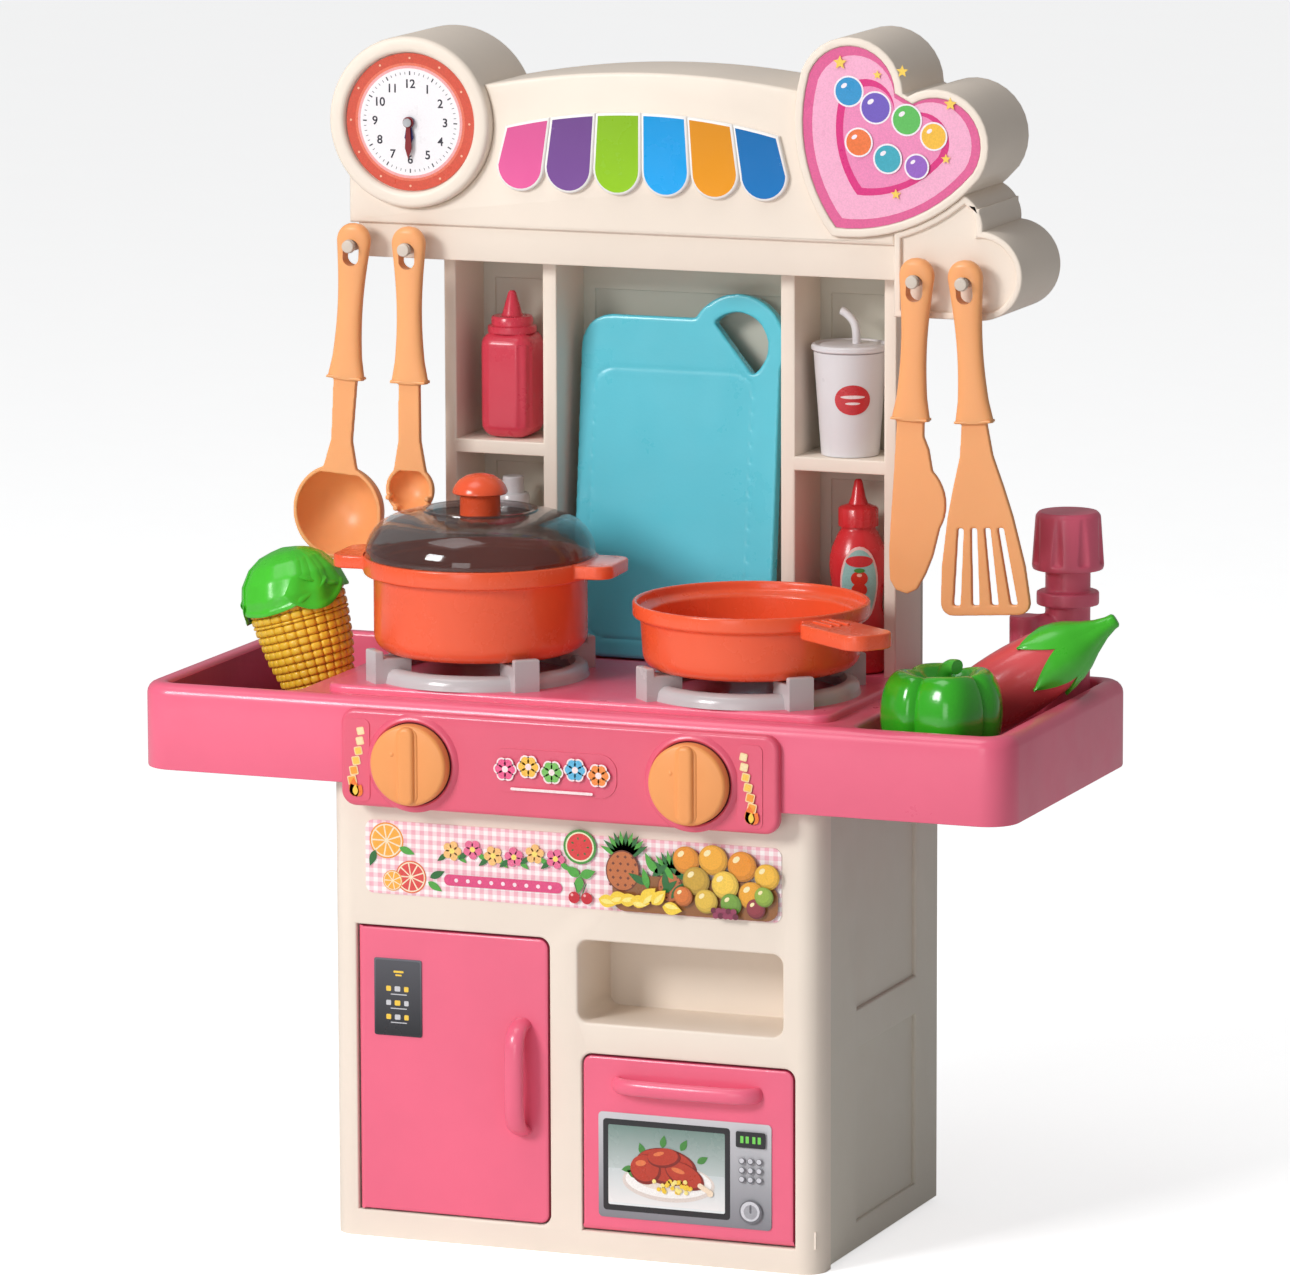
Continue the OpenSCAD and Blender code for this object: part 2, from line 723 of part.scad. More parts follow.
// Grip outline, from z = 0 at the peg down to -len
module grip2d(len) {
  n = 22;
  side = [for (i = [0:n]) [grip_w(i / n), 10.5 - (len + 10.5) * i / n]];
  polygon(concat(side, [for (i = [n:-1:0]) [-side[i][0], side[i][1]]]));
}

// Hole in the grip that the peg passes through
module grip_hole2d() {
  translate([0, -1.1]) circle(4);
  translate([0, -5.5]) circle(4);
  translate([-4, -5.5]) square([8, 4.4]);
}

module at_peg(i, swing = 0) {
  translate([pegs[i][0], grip_y, pegs[i][1]]) rotate([0, -swing, 0]) difference() {
    union() children();
    upright(-20, 40) grip_hole2d();
  }
}

ladle_swing = -4.1;
bowl_r = 22.4;

module ladle() color(PEACH) at_peg(0, ladle_swing) {
  upright(-3.6, 7.2) grip2d(63);
  upright(-2, 3.4) polygon([[-5.8, -62], [5.8, -62], [5.2, -92], [9, -108], [-9, -108], [-5.2, -92]]);
  // Bowl, open to the front
  translate([0, -2, -126]) difference() {
    sphere(bowl_r, $fn = 48);
    sphere(bowl_r - 2, $fn = 48);
    translate([-30, -30, -30]) cube([60, 30, 60]);
  }
}

scoop_r = 12;

// Pasta server: a small scoop with teeth round its lower edge
module pasta_server() color(PEACH) at_peg(1) {
  upright(-3.6, 7.2) grip2d(63);
  upright(-2, 3.4) polygon([[-5.2, -62], [5.2, -62], [5.5, -90], [8, -104], [-8, -104], [-5.5, -90]]);
  translate([0, -2, -113]) {
    difference() {
      sphere(scoop_r, $fn = 48);
      sphere(scoop_r - 2, $fn = 48);
      translate([-30, -30, -30]) cube([60, 30, 60]);
    }
    for (a = [200:35:340]) rotate([0, -a, 0]) translate([scoop_r - 1.6, 2, 0])
      rotate([90, 0, 0]) cylinder(r = 1.4, h = 5);
  }
}

knife_swing = -2.4;

module knife() color(PEACH) at_peg(2, knife_swing) {
  upright(-3.6, 7.2) grip2d(64);
  upright(-1.6, 3.2) polygon(concat([[-6.4, -63], [6.4, -63], [6.6, -71], [9.4, -77]],
    arc([-3, -102.5], 21.6, 48, -28, 10), [[13.4, -125.6], [10.2, -134.5], [6.6, -141.5], [2, -144],
    [-3.4, -142.6], [-6.6, -138], [-7.5, -125], [-7.3, -110], [-6.8, -90]]));
}

spatula_swing = 4;

module spatula() color(PEACH) at_peg(3, spatula_swing) {
  upright(-3.6, 7.2) grip2d(64);
  upright(-1.6, 3.2) difference() {
    union() {
      polygon(concat([[-5.8, -63], [5.8, -63], [7.8, -79], [12.2, -94], [15.6, -107], [20, -130]],
        arc([15.8, -146.5], 5.6, 10, -90, 5), arc([-15.8, -146.5], 5.6, -90, -190, 5),
        [[-20, -130], [-15.6, -107], [-12.2, -94], [-7.8, -79]]));
    }
    for (i = [-1.5:1:1.5]) polygon([[i * 6.4 - 1.5, -112], [i * 6.4 + 1.5, -112],
      [i * 9.2 + 1.8, -147.5], [i * 9.2 - 1.8, -147.5]]);
  }
}

// ---- things on the shelves ----

board_w = 99;
board_h = 160;
board_t = 7;
board_lean = 6;

module cutting_board() color([0.35, 0.80, 0.86])
  translate([-1, unit_y0 + 3.5, rim_z + 1.1]) rotate([-board_lean, 0, 0]) difference() {
    upright(0, board_t) {
      translate([0, board_h / 2]) rrect(board_w, board_h, 15);
      translate([board_w / 2 - 22, board_h - 12]) circle(24);
    }
    upright(-1, board_t + 2) difference() {
      translate([board_w / 2 - 22, board_h - 12]) circle(15.5);
      translate([board_w / 2 - 22, board_h - 12]) rotate(-140) translate([2, -30]) square([40, 60]);
    }
    // Juice groove
    upright(-1, 1.6) difference() {
      translate([-3, board_h / 2 - 8]) rrect(board_w - 19, board_h - 32, 10);
      translate([-3, board_h / 2 - 8]) rrect(board_w - 21.5, board_h - 34.5, 9);
    }
  }

item_y = 66;

module red_bottle() color(RED) translate([-84, item_y, shelf_z + clear]) {
  translate([0, 0, 25]) linear_extrude(50, center = true) rrect(26.4, 26.4, 8);
  translate([0, 0, 50]) cylinder(r = 10, h = 6.5);
  translate([0, 0, 56.5]) rotate_extrude() polygon([[0, 0], [5, 0], [1.8, 11.5], [0, 12]]);
}

module white_bottle() color([0.92, 0.92, 0.92]) translate([-84, item_y, rim_z + clear])
  rotate_extrude() polygon([[0, 0], [12, 0], [13, 2], [13, 22], [9.5, 32], [12, 46], [11.5, 58],
    [7, 64], [7, 66], [7.4, 66], [7.4, 74], [5, 74], [5, 82], [0, 82]]);

cup_x = 84;

module drink_cup() color([0.93, 0.93, 0.94]) translate([cup_x, item_y, shelf_z + clear])
  rotate_extrude() polygon([[0, 0], [13.4, 0], [17, 48], [15.6, 48], [12.2, 1.8], [0, 1.8]]);

straw_bend = 10;

// Lid with its bent straw
module cup_lid() color([0.95, 0.95, 0.96]) translate([cup_x, item_y, shelf_z + clear + 48 + clear]) {
  rotate_extrude() polygon([[0, 0], [17.4, 0], [18.2, 1.2], [17.4, 3], [0, 3.4]]);
  translate([3, 0, 2]) cylinder(r = 1.6, h = 7);
  translate([3 - straw_bend, 0, 9]) rotate([90, 0, 0])
    rotate_extrude(angle = 62, $fn = 48) translate([straw_bend, 0]) circle(1.6, $fn = 24);
}

module ketchup_bottle() color(RED) translate([88, item_y, rim_z + clear])
  rotate_extrude() polygon([[0, 0], [12.5, 0], [13.6, 2], [13.6, 16], [10.8, 32], [13.6, 48],
    [12.6, 58], [8, 66], [8, 68], [9.4, 68], [9.4, 76.5], [4, 78], [1.6, 89], [0, 89.5]]);

// ---- food ----

corn_foot = [-148.4, -4, 227];
corn_lean = -16.2;
corn_cut = 50;

module at_corn() {
  translate(corn_foot) rotate([0, corn_lean, 0]) children();
}

module corn_tip() color([0.93, 0.76, 0.20]) at_corn()
  rotate_extrude() polygon([[0, 1], [8, 2], [12, 6], [14.4, 12], [17.6, 22], [20.6, 34],
    [22.4, corn_cut], [0, corn_cut]]);

module corn_husk_end() color([0.30, 0.75, 0.20]) at_corn() translate([0, 0, corn_cut + clear])
  rotate_extrude() polygon([[0, 0], [22.6, 0], [24.4, 7], [24.8, 13], [23, 20], [18, 27], [10, 31.5], [0, 33]]);

pepper_at = [167, -41, 226.3];

module pepper() color([0.30, 0.75, 0.18]) translate(pepper_at) {
  for (a = [45:90:315]) rotate(a) translate([10.5, 0, 0])
    rotate_extrude() polygon([[0, 0.4], [7, 0], [13, 6], [16, 18], [17.4, 34], [16, 46], [11, 53], [5, 54], [0, 53]]);
  translate([0, 0, 44]) cylinder(r = 3.4, h = 17);
}

egg_a = [181.6, 26, 262.2];
egg_turn = 15;
egg_lean = 57;

module at_eggplant() {
  translate(egg_a) rotate([0, egg_lean, egg_turn]) children();
}

module eggplant() color([0.85, 0.35, 0.40]) at_eggplant()
  rotate_extrude() polygon([[0, -40], [8, -38.5], [13.5, -33], [16.4, -22], [17, -10], [16.8, 2], [15.6, 14],
    [13.6, 23], [0, 25]]);

module eggplant_calyx() color([0.30, 0.72, 0.20]) at_eggplant() translate([0, 0, 25])
  rotate_extrude() polygon([[0, 0], [14, 0], [14.6, 3], [11.5, 10], [6, 15], [3, 26], [0, 26.5]]);

// Self-tapping screws through the rear panel and the base plate
module assembly_screws() color(GREY) {
  for (sx = [-1, 1], z = rear_screw_z) translate([sx * rear_screw_x, rear_y - 10, z]) rotate([-90, 0, 0]) {
    cylinder(r = screw_r, h = 10.1);
    translate([0, 0, 10.05]) cylinder(r = head_r, h = 1.4);
  }
  for (sx = [-1, 1], y = base_screw_y) translate([sx * base_screw_x, y, 0.3]) {
    cylinder(r = head_r, h = 1.6);
    cylinder(r = screw_r, h = 8);
  }
}

front_panel();
side_panel_left();
side_panel_right();
rear_panel();
base_plate();
fridge_liner();
oven_liner();
niche_liner();
fridge_door();
fridge_handle();
fridge_hinge_pins();
fridge_display();
oven_door();
oven_handle();
oven_hinge_pins();
oven_sticker();
banner_sticker();
worktop();
control_panel();
panel_stickers();
knob_left();
knob_right();
burner_left();
burner_right();
pot();
pot_lid();
pot_lid_knob();
pan();
shelf_frame();
back_panel();
header_shell();
header_back_cover();
awning();
clock_housing();
clock_face();
clock_pivot();
clock_hour_hand();
clock_minute_hand();
heart_housing();
heart_badge();
cloud_panel();
utensil_pegs();
faucet_base();
faucet_cap();
ladle();
pasta_server();
knife();
spatula();
cutting_board();
red_bottle();
white_bottle();
drink_cup();
cup_lid();
ketchup_bottle();
corn_tip();
corn_husk_end();
pepper();
eggplant();
eggplant_calyx();
assembly_screws();
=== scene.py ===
import math
import random

import bmesh
import bpy
from mathutils import Matrix, Quaternion, Vector


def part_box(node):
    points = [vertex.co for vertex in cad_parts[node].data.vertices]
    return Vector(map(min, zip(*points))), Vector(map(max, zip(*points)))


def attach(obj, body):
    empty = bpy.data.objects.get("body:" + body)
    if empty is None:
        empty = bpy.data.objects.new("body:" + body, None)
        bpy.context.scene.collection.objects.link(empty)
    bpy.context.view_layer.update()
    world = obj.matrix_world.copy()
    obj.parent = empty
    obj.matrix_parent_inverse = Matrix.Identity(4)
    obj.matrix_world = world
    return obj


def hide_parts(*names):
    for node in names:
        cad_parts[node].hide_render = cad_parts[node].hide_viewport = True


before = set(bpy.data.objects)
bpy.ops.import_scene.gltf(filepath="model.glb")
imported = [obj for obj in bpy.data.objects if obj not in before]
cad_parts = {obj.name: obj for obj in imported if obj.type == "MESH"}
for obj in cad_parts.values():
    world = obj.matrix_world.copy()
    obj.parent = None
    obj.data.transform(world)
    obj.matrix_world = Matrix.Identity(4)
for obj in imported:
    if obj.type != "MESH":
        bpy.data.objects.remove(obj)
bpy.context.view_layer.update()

bl_info = {
    "name": "Toy kitchen looks",
    "version": (1, 0, 0),
    "blender": (4, 5, 0),
    "location": "3D View > Sidebar > Toy kitchen",
    "description": "Moulded shells, prints, cookware, tools and play food of a table-top play kitchen",
    "category": "Object",
}

MM = 0.001
FRONT_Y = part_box("front_panel")[0].y / MM
PANEL_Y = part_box("control_panel")[0].y / MM
TAU = 2 * math.pi


# ---- properties ----


class KitchenSizes(bpy.types.PropertyGroup):
    """Sizes of the details that the pieces add to the shells."""

    rim_round: bpy.props.FloatProperty(
        name="Worktop rounding", description="Radius of the rounding along the worktop's outer top edge",
        default=5.5 * MM, min=2 * MM, max=7 * MM, unit="LENGTH")
    edge_round: bpy.props.FloatProperty(
        name="Shell rounding", description="Radius of the small roundings on the moulded shells",
        default=1.2 * MM, min=0.4 * MM, max=1.6 * MM, unit="LENGTH")
    header_round: bpy.props.FloatProperty(
        name="Header rounding", description="Radius of the rounding along the front edge of the header",
        default=1.8 * MM, min=1 * MM, max=2 * MM, unit="LENGTH")
    kernel_rows: bpy.props.IntProperty(
        name="Kernel rows", description="Rows of kernels round the corn", default=26, min=18, max=32)
    leaf_points: bpy.props.IntProperty(
        name="Calyx points", description="Points round the edge of the eggplant's calyx", default=5, min=4,
                max=7)


def colour_prop(label, text, rgb):
    """One colour setting, given in display values 0 to 255 as a maker would read it off a colour card."""
    return bpy.props.FloatVectorProperty(
        name=label, description=text, subtype="COLOR", size=3, min=0, max=1, default=srgb(*rgb))


def srgb(r, g, b):
    """Linear colour of a display colour given as 0 to 255."""
    def one(v):
        v /= 255
        return v / 12.92 if v <= 0.04045 else ((v + 0.055) / 1.055) ** 2.4
    return (one(r), one(g), one(b))


class KitchenColours(bpy.types.PropertyGroup):
    """Colours of the moulded plastics."""

    cream: colour_prop("Cream", "Cabinet, shelves and header", (240, 226, 211))
    pink: colour_prop("Pink", "Doors and worktop", (240, 104, 134))
    deep_pink: colour_prop("Deep pink", "Control plate", (228, 92, 118))
    tap: colour_prop("Tap", "Faucet and pump head", (226, 98, 124))
    peach: colour_prop("Peach", "Tools and knobs", (247, 172, 112))
    orange: colour_prop("Orange", "Pot and pan", (240, 92, 52))
    grey: colour_prop("Grey", "Hob rings", (196, 189, 190))
    cyan: colour_prop("Cyan", "Cutting board", (92, 202, 220))


# ---- selection and edit helpers ----


def clear():
    """Leaves edit mode and selects nothing."""
    if bpy.context.object and bpy.context.object.mode != "OBJECT":
        bpy.ops.object.mode_set(mode="OBJECT")
    bpy.ops.object.select_all(action="DESELECT")


def only(obj):
    """Selects one object and makes it the active one."""
    clear()
    obj.select_set(True)
    bpy.context.view_layer.objects.active = obj


def edit_all(obj, mode="VERT"):
    """Edit mode with all of obj selected."""
    only(obj)
    bpy.ops.object.mode_set(mode="EDIT")
    bpy.ops.mesh.select_mode(type=mode)
    bpy.ops.mesh.select_all(action="SELECT")


def done():
    """Leaves edit mode."""
    bpy.ops.object.mode_set(mode="OBJECT")


def copy_of(node, name):
    """A merged copy of a CAD node's mesh, ready for rounding."""
    only(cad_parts[node])
    bpy.ops.object.duplicate()
    new = bpy.context.active_object
    new.name = name
    new.data.name = name
    new.parent = None
    for key in [k for k in new.keys() if k.startswith("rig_")]:
        del new[key]
    new.data.materials.clear()
    edit_all(new)
    bpy.ops.mesh.customdata_custom_splitnormals_clear()
    bpy.ops.mesh.remove_doubles(threshold=2e-6)
    bpy.ops.mesh.dissolve_limited(angle_limit=math.radians(0.4))
    done()
    return new


def round_edges(obj, width, test, segments=3, sharp=25):
    """Bevels the sharp edges whose two ends pass test(x, y, z), in mm."""
    only(obj)
    bpy.ops.object.mode_set(mode="EDIT")
    bpy.ops.mesh.select_mode(type="EDGE")
    bpy.ops.mesh.select_all(action="DESELECT")
    bm = bmesh.from_edit_mesh(obj.data)
    limit = math.radians(sharp)
    count = 0
    for e in bm.edges:
        if len(e.link_faces) != 2 or e.calc_face_angle(0) < limit:
            continue
        a, b = e.verts[0].co / MM, e.verts[1].co / MM
        if test(*a) and test(*b):
            e.select_set(True)
            count += 1
    bmesh.update_edit_mesh(obj.data)
    if count:
        bpy.ops.mesh.bevel(offset=width, offset_type="OFFSET", segments=segments, profile=0.5,
                           affect="EDGES", clamp_overlap=False, loop_slide=True)
    done()
    return obj


def smooth(obj, angle=32):
    """Smooth shading with sharp edges kept over the angle, in degrees."""
    only(obj)
    bpy.ops.object.shade_smooth_by_angle(angle=math.radians(angle))


def apply(obj, kind, **values):
    """Adds a modifier, sets it and applies it."""
    only(obj)
    mod = obj.modifiers.new("work", kind)
    for key, value in values.items():
        setattr(mod, key, value)
    bpy.ops.object.modifier_apply(modifier=mod.name)


def soften(obj, voxel, passes=8, keep=0.35):
    """Remeshes to a fine even skin and relaxes it, which rounds every edge a little."""
    apply(obj, "REMESH", mode="VOXEL", voxel_size=voxel * MM, use_smooth_shade=True)
    apply(obj, "SMOOTH", factor=0.5, iterations=passes)
    if keep < 1:
        apply(obj, "DECIMATE", ratio=keep)


def piece(obj, body, material, stands_for=(), angle=32):
    """Finishes a new piece: material, smooth shading, its body and the nodes it stands for."""
    if material is not None:
        obj.data.materials.clear()
        obj.data.materials.append(material)
    smooth(obj, angle)
    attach(obj, body)
    if stands_for:
        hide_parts(*stands_for)
    return obj


def new_mesh(name, verts, edges=(), faces=()):
    """An object from points in metres."""
    mesh = bpy.data.meshes.new(name)
    mesh.from_pydata([tuple(v) for v in verts], edges, faces)
    obj = bpy.data.objects.new(name, mesh)
    bpy.context.scene.collection.objects.link(obj)
    return obj


def chaikin(points, rounds=2):
    """Cuts the corners of an open outline, which rounds it."""
    for _ in range(rounds):
        out = [points[0]]
        for (ax, ay), (bx, by) in zip(points, points[1:]):
            out += [(0.75 * ax + 0.25 * bx, 0.75 * ay + 0.25 * by),
                    (0.25 * ax + 0.75 * bx, 0.25 * ay + 0.75 * by)]
        points = out + [points[-1]]
    return points


def lathe(name, outline, steps=64, rounds=0):
    """Spins an outline of (radius, height) in mm about Z."""
    pts = chaikin(outline, rounds) if rounds else outline
    obj = new_mesh(name, [(r * MM, 0, z * MM) for r, z in pts], [(i, i + 1) for i in range(len(pts) - 1)])
    edit_all(obj)
    bpy.ops.mesh.spin(steps=steps, angle=TAU, center=(0, 0, 0), axis=(0, 0, 1))
    bpy.ops.mesh.select_all(action="SELECT")
    bpy.ops.mesh.remove_doubles(threshold=1e-6)
    bpy.ops.mesh.normals_make_consistent(inside=False)
    done()
    return obj


def round_rect(x, z, w, h, r, steps=6):
    """Outline of a rectangle with round corners, as (x, z) points in mm."""
    pts = []
    for sx, sz, a0 in ((1, -1, -90), (1, 1, 0), (-1, 1, 90), (-1, -1, 180)):
        for i in range(steps):
            a = math.radians(a0 + 90 * i / (steps - 1))
            pts.append((x + sx * (w / 2 - r) + r * math.cos(a), z + sz * (h / 2 - r) + r * math.sin(a)))
    return pts


def slab(name, points, back, front, radius, segments=4):
    """An upright plate from an (x, z) outline, its front edges rounded."""
    obj = new_mesh(name, [(x * MM, back * MM, z * MM) for x, z in points], (), [list(range(len(points)))])
    edit_all(obj, "FACE")
    bpy.ops.mesh.extrude_region_move(TRANSFORM_OT_translate={"value": (0, (front - back) * MM, 0)})
    bpy.ops.mesh.select_all(action="SELECT")
    bpy.ops.mesh.normals_make_consistent(inside=False)
    done()
    if radius:
        round_edges(obj, radius * MM, lambda x, y, z: abs(y - front) < 0.02, segments)
    return obj


def rod(name, points, radius, wide=1.0, across="X", segments=6):
    """A rounded bar along a smooth path, widened across one axis; points in mm."""
    clear()
    bpy.ops.curve.primitive_nurbs_path_add()
    obj = bpy.context.active_object
    spline = obj.data.splines[0]
    spline.points.add(len(points) - len(spline.points))
    for point, (x, y, z) in zip(spline.points, points):
        point.co = (x * MM, y * MM, z * MM, 1)
    spline.order_u, spline.use_endpoint_u, spline.resolution_u = 4, True, 8
    obj.data.bevel_depth, obj.data.bevel_resolution, obj.data.use_fill_caps = radius * MM, segments, True
    bpy.ops.object.convert(target="MESH")
    obj = bpy.context.active_object
    obj.name = name
    mid = Vector([sum(c[i] for c in points) / len(points) * MM for i in range(3)])
    grow = Matrix.Diagonal((wide if across == "X" else 1, wide if across == "Y" else 1,
                            wide if across == "Z" else 1, 1))
    place(obj, Matrix.Translation(mid) @ grow @ Matrix.Translation(-mid))
    edit_all(obj)
    bpy.ops.mesh.remove_doubles(threshold=1e-6)
    bpy.ops.mesh.normals_make_consistent(inside=False)
    done()
    return obj


def join(name, objs):
    """Joins objects into one and names it."""
    clear()
    for o in objs:
        o.select_set(True)
    bpy.context.view_layer.objects.active = objs[0]
    if len(objs) > 1:
        bpy.ops.object.join()
    obj = bpy.context.active_object
    obj.name = name
    obj.data.name = name
    return obj


def place(obj, matrix):
    """Moves the mesh itself, so the object stays at the origin."""
    obj.data.transform(matrix)
    obj.data.update()
    return obj


def at(x, y, z):
    """A shift given in mm."""
    return Matrix.Translation((x * MM, y * MM, z * MM))


# ---- materials ----

MATS = {}


def once(make):
    """Lets each named material be made one time and then used again."""
    def named(name, *args, **values):
        if name not in MATS:
            MATS[name] = make(name, *args, **values)
        return MATS[name]
    return named


def nodes_of(name):
    """A new material with its tree, shader and coordinates."""
    mat = bpy.data.materials.new(name)
    mat.use_nodes = True
    tree = mat.node_tree
    shader = tree.nodes["Principled BSDF"]
    coord = tree.nodes.new("ShaderNodeTexCoord")
    return mat, tree, shader, coord


def noise(tree, coord, scale, detail=3.0, rough=0.5, stretch=None):
    """A noise texture on Object coordinates, scale in features per metre."""
    tex = tree.nodes.new("ShaderNodeTexNoise")
    tex.inputs["Scale"].default_value = scale
    tex.inputs["Detail"].default_value = detail
    tex.inputs["Roughness"].default_value = rough
    if stretch:
        mapping = tree.nodes.new("ShaderNodeMapping")
        mapping.inputs["Scale"].default_value = stretch
        tree.links.new(coord.outputs["Object"], mapping.inputs["Vector"])
        tree.links.new(mapping.outputs["Vector"], tex.inputs["Vector"])
    else:
        tree.links.new(coord.outputs["Object"], tex.inputs["Vector"])
    return tex


def ramp_of(tree, source, low, high, a, b):
    """Maps source between low and high to two colours."""
    ramp = tree.nodes.new("ShaderNodeValToRGB")
    ramp.color_ramp.elements[0].position = low
    ramp.color_ramp.elements[1].position = high
    ramp.color_ramp.elements[0].color = (*a, 1)
    ramp.color_ramp.elements[1].color = (*b, 1)
    tree.links.new(source, ramp.inputs["Fac"])
    return ramp


def shade(rgb, k):
    """A colour made darker or lighter."""
    return tuple(min(1, max(0, c * k)) for c in rgb)


def finish_surface(tree, shader, coord, rough, grain, bump):
    """Roughness that varies a little, and the fine skin of moulded plastic."""
    wear = noise(tree, coord, 42, 5, 0.62)
    spread = tree.nodes.new("ShaderNodeMapRange")
    spread.inputs["From Min"].default_value = 0.3
    spread.inputs["From Max"].default_value = 0.7
    spread.inputs["To Min"].default_value = rough * 0.8
    spread.inputs["To Max"].default_value = rough * 1.25
    tree.links.new(wear.outputs["Fac"], spread.inputs["Value"])
    tree.links.new(spread.outputs["Result"], shader.inputs["Roughness"])
    skin = noise(tree, coord, grain, 2, 0.5)
    relief = tree.nodes.new("ShaderNodeBump")
    relief.inputs["Strength"].default_value = 0.25
    relief.inputs["Distance"].default_value = bump * MM
    tree.links.new(skin.outputs["Fac"], relief.inputs["Height"])
    tree.links.new(relief.outputs["Normal"], shader.inputs["Normal"])


@once
def plastic(name, rgb, rough=0.34, coat=0.0, swing=0.06, grain=700, bump=0.12, glow=0.0):
    """Injection-moulded plastic: faint flow marks in the colour, uneven gloss and a fine skin."""
    mat, tree, shader, coord = nodes_of(name)
    flow = noise(tree, coord, 11, 4, 0.55)
    ramp = ramp_of(tree, flow.outputs["Fac"], 0.32, 0.68, shade(rgb, 1 - swing), shade(rgb, 1 + swing * 0.6))
    tree.links.new(ramp.outputs["Color"], shader.inputs["Base Color"])
    shader.inputs["Specular IOR Level"].default_value = 0.42
    if coat:
        shader.inputs["Coat Weight"].default_value = coat
        shader.inputs["Coat Roughness"].default_value = 0.12
    if glow:
        shader.inputs["Subsurface Weight"].default_value = glow
        shader.inputs["Subsurface Radius"].default_value = (0.004, 0.002, 0.0012)
        shader.inputs["Subsurface Scale"].default_value = 1.0
    finish_surface(tree, shader, coord, rough, grain, bump)
    mat.diffuse_color = (*rgb, 1)
    return mat


@once
def ink(name, rgb, rough=0.3, swing=0.10):
    """Printed film: a fine halftone mottle in the colour under a clear glossy layer."""
    mat, tree, shader, coord = nodes_of(name)
    dots = noise(tree, coord, 1400, 2, 0.6)
    ramp = ramp_of(tree, dots.outputs["Fac"], 0.35, 0.7, shade(rgb, 1 - swing), shade(rgb, 1 + swing * 0.5))
    tree.links.new(ramp.outputs["Color"], shader.inputs["Base Color"])
    shader.inputs["Coat Weight"].default_value = 0.25
    shader.inputs["Coat Roughness"].default_value = 0.15
    finish_surface(tree, shader, coord, rough, 300, 0.02)
    return mat


@once
def metal(name, rgb, rough=0.3):
    """Brushed steel with fine marks along its length."""
    mat, tree, shader, coord = nodes_of(name)
    marks = noise(tree, coord, 900, 3, 0.6, stretch=(1, 1, 0.05))
    ramp = ramp_of(tree, marks.outputs["Fac"], 0.3, 0.7, shade(rgb, 0.85), shade(rgb, 1.1))
    tree.links.new(ramp.outputs["Color"], shader.inputs["Base Color"])
    shader.inputs["Metallic"].default_value = 1.0
    finish_surface(tree, shader, coord, rough, 1500, 0.02)
    return mat


@once
def smoky(name, rgb):
    """Clear smoky plastic of the lid."""
    mat, tree, shader, coord = nodes_of(name)
    haze = noise(tree, coord, 18, 3, 0.5)
    ramp = ramp_of(tree, haze.outputs["Fac"], 0.3, 0.7, shade(rgb, 0.92), shade(rgb, 1.08))
    tree.links.new(ramp.outputs["Color"], shader.inputs["Base Color"])
    shader.inputs["Alpha"].default_value = 0.5
    shader.inputs["IOR"].default_value = 1.45
    shader.inputs["Coat Weight"].default_value = 1.0
    shader.inputs["Coat Roughness"].default_value = 0.05
    finish_surface(tree, shader, coord, 0.07, 200, 0.02)
    return mat


def gingham(name, pale, mid, pitch):
    """Checked print: stripes both ways, darker where they cross."""
    mat, tree, shader, coord = nodes_of(name)
    split = tree.nodes.new("ShaderNodeSeparateXYZ")
    tree.links.new(coord.outputs["Object"], split.inputs["Vector"])
    bars = []
    for axis in ("X", "Z"):
        wrap = tree.nodes.new("ShaderNodeMath")
        wrap.operation = "PINGPONG"
        wrap.inputs[1].default_value = pitch * MM
        tree.links.new(split.outputs[axis], wrap.inputs[0])
        step = tree.nodes.new("ShaderNodeMath")
        step.operation = "GREATER_THAN"
        step.inputs[1].default_value = pitch * MM / 2
        tree.links.new(wrap.outputs[0], step.inputs[0])
        bars.append(step)
    add = tree.nodes.new("ShaderNodeMath")
    add.operation = "ADD"
    tree.links.new(bars[0].outputs[0], add.inputs[0])
    tree.links.new(bars[1].outputs[0], add.inputs[1])
    half = tree.nodes.new("ShaderNodeMath")
    half.operation = "MULTIPLY"
    half.inputs[1].default_value = 0.5
    tree.links.new(add.outputs[0], half.inputs[0])
    ramp = ramp_of(tree, half.outputs[0], 0.0, 1.0, pale, mid)
    tree.links.new(ramp.outputs["Color"], shader.inputs["Base Color"])
    finish_surface(tree, shader, coord, 0.3, 600, 0.02)
    return mat


@once
def fade(name, low_rgb, high_rgb, axis, low, high, rough=0.25):
    """A print whose colour runs from one tone to another along an axis, low to high in mm."""
    mat, tree, shader, coord = nodes_of(name)
    split = tree.nodes.new("ShaderNodeSeparateXYZ")
    tree.links.new(coord.outputs["Object"], split.inputs["Vector"])
    spread = tree.nodes.new("ShaderNodeMapRange")
    spread.inputs["From Min"].default_value = low * MM
    spread.inputs["From Max"].default_value = high * MM
    tree.links.new(split.outputs[axis], spread.inputs["Value"])
    ramp = ramp_of(tree, spread.outputs["Result"], 0.0, 1.0, low_rgb, high_rgb)
    tree.links.new(ramp.outputs["Color"], shader.inputs["Base Color"])
    finish_surface(tree, shader, coord, rough, 900, 0.02)
    return mat


def paint(node, material):
    """Gives a carried-over CAD node its finish."""
    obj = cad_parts[node]
    obj.data.materials.clear()
    obj.data.materials.append(material)


# ---- prints ----


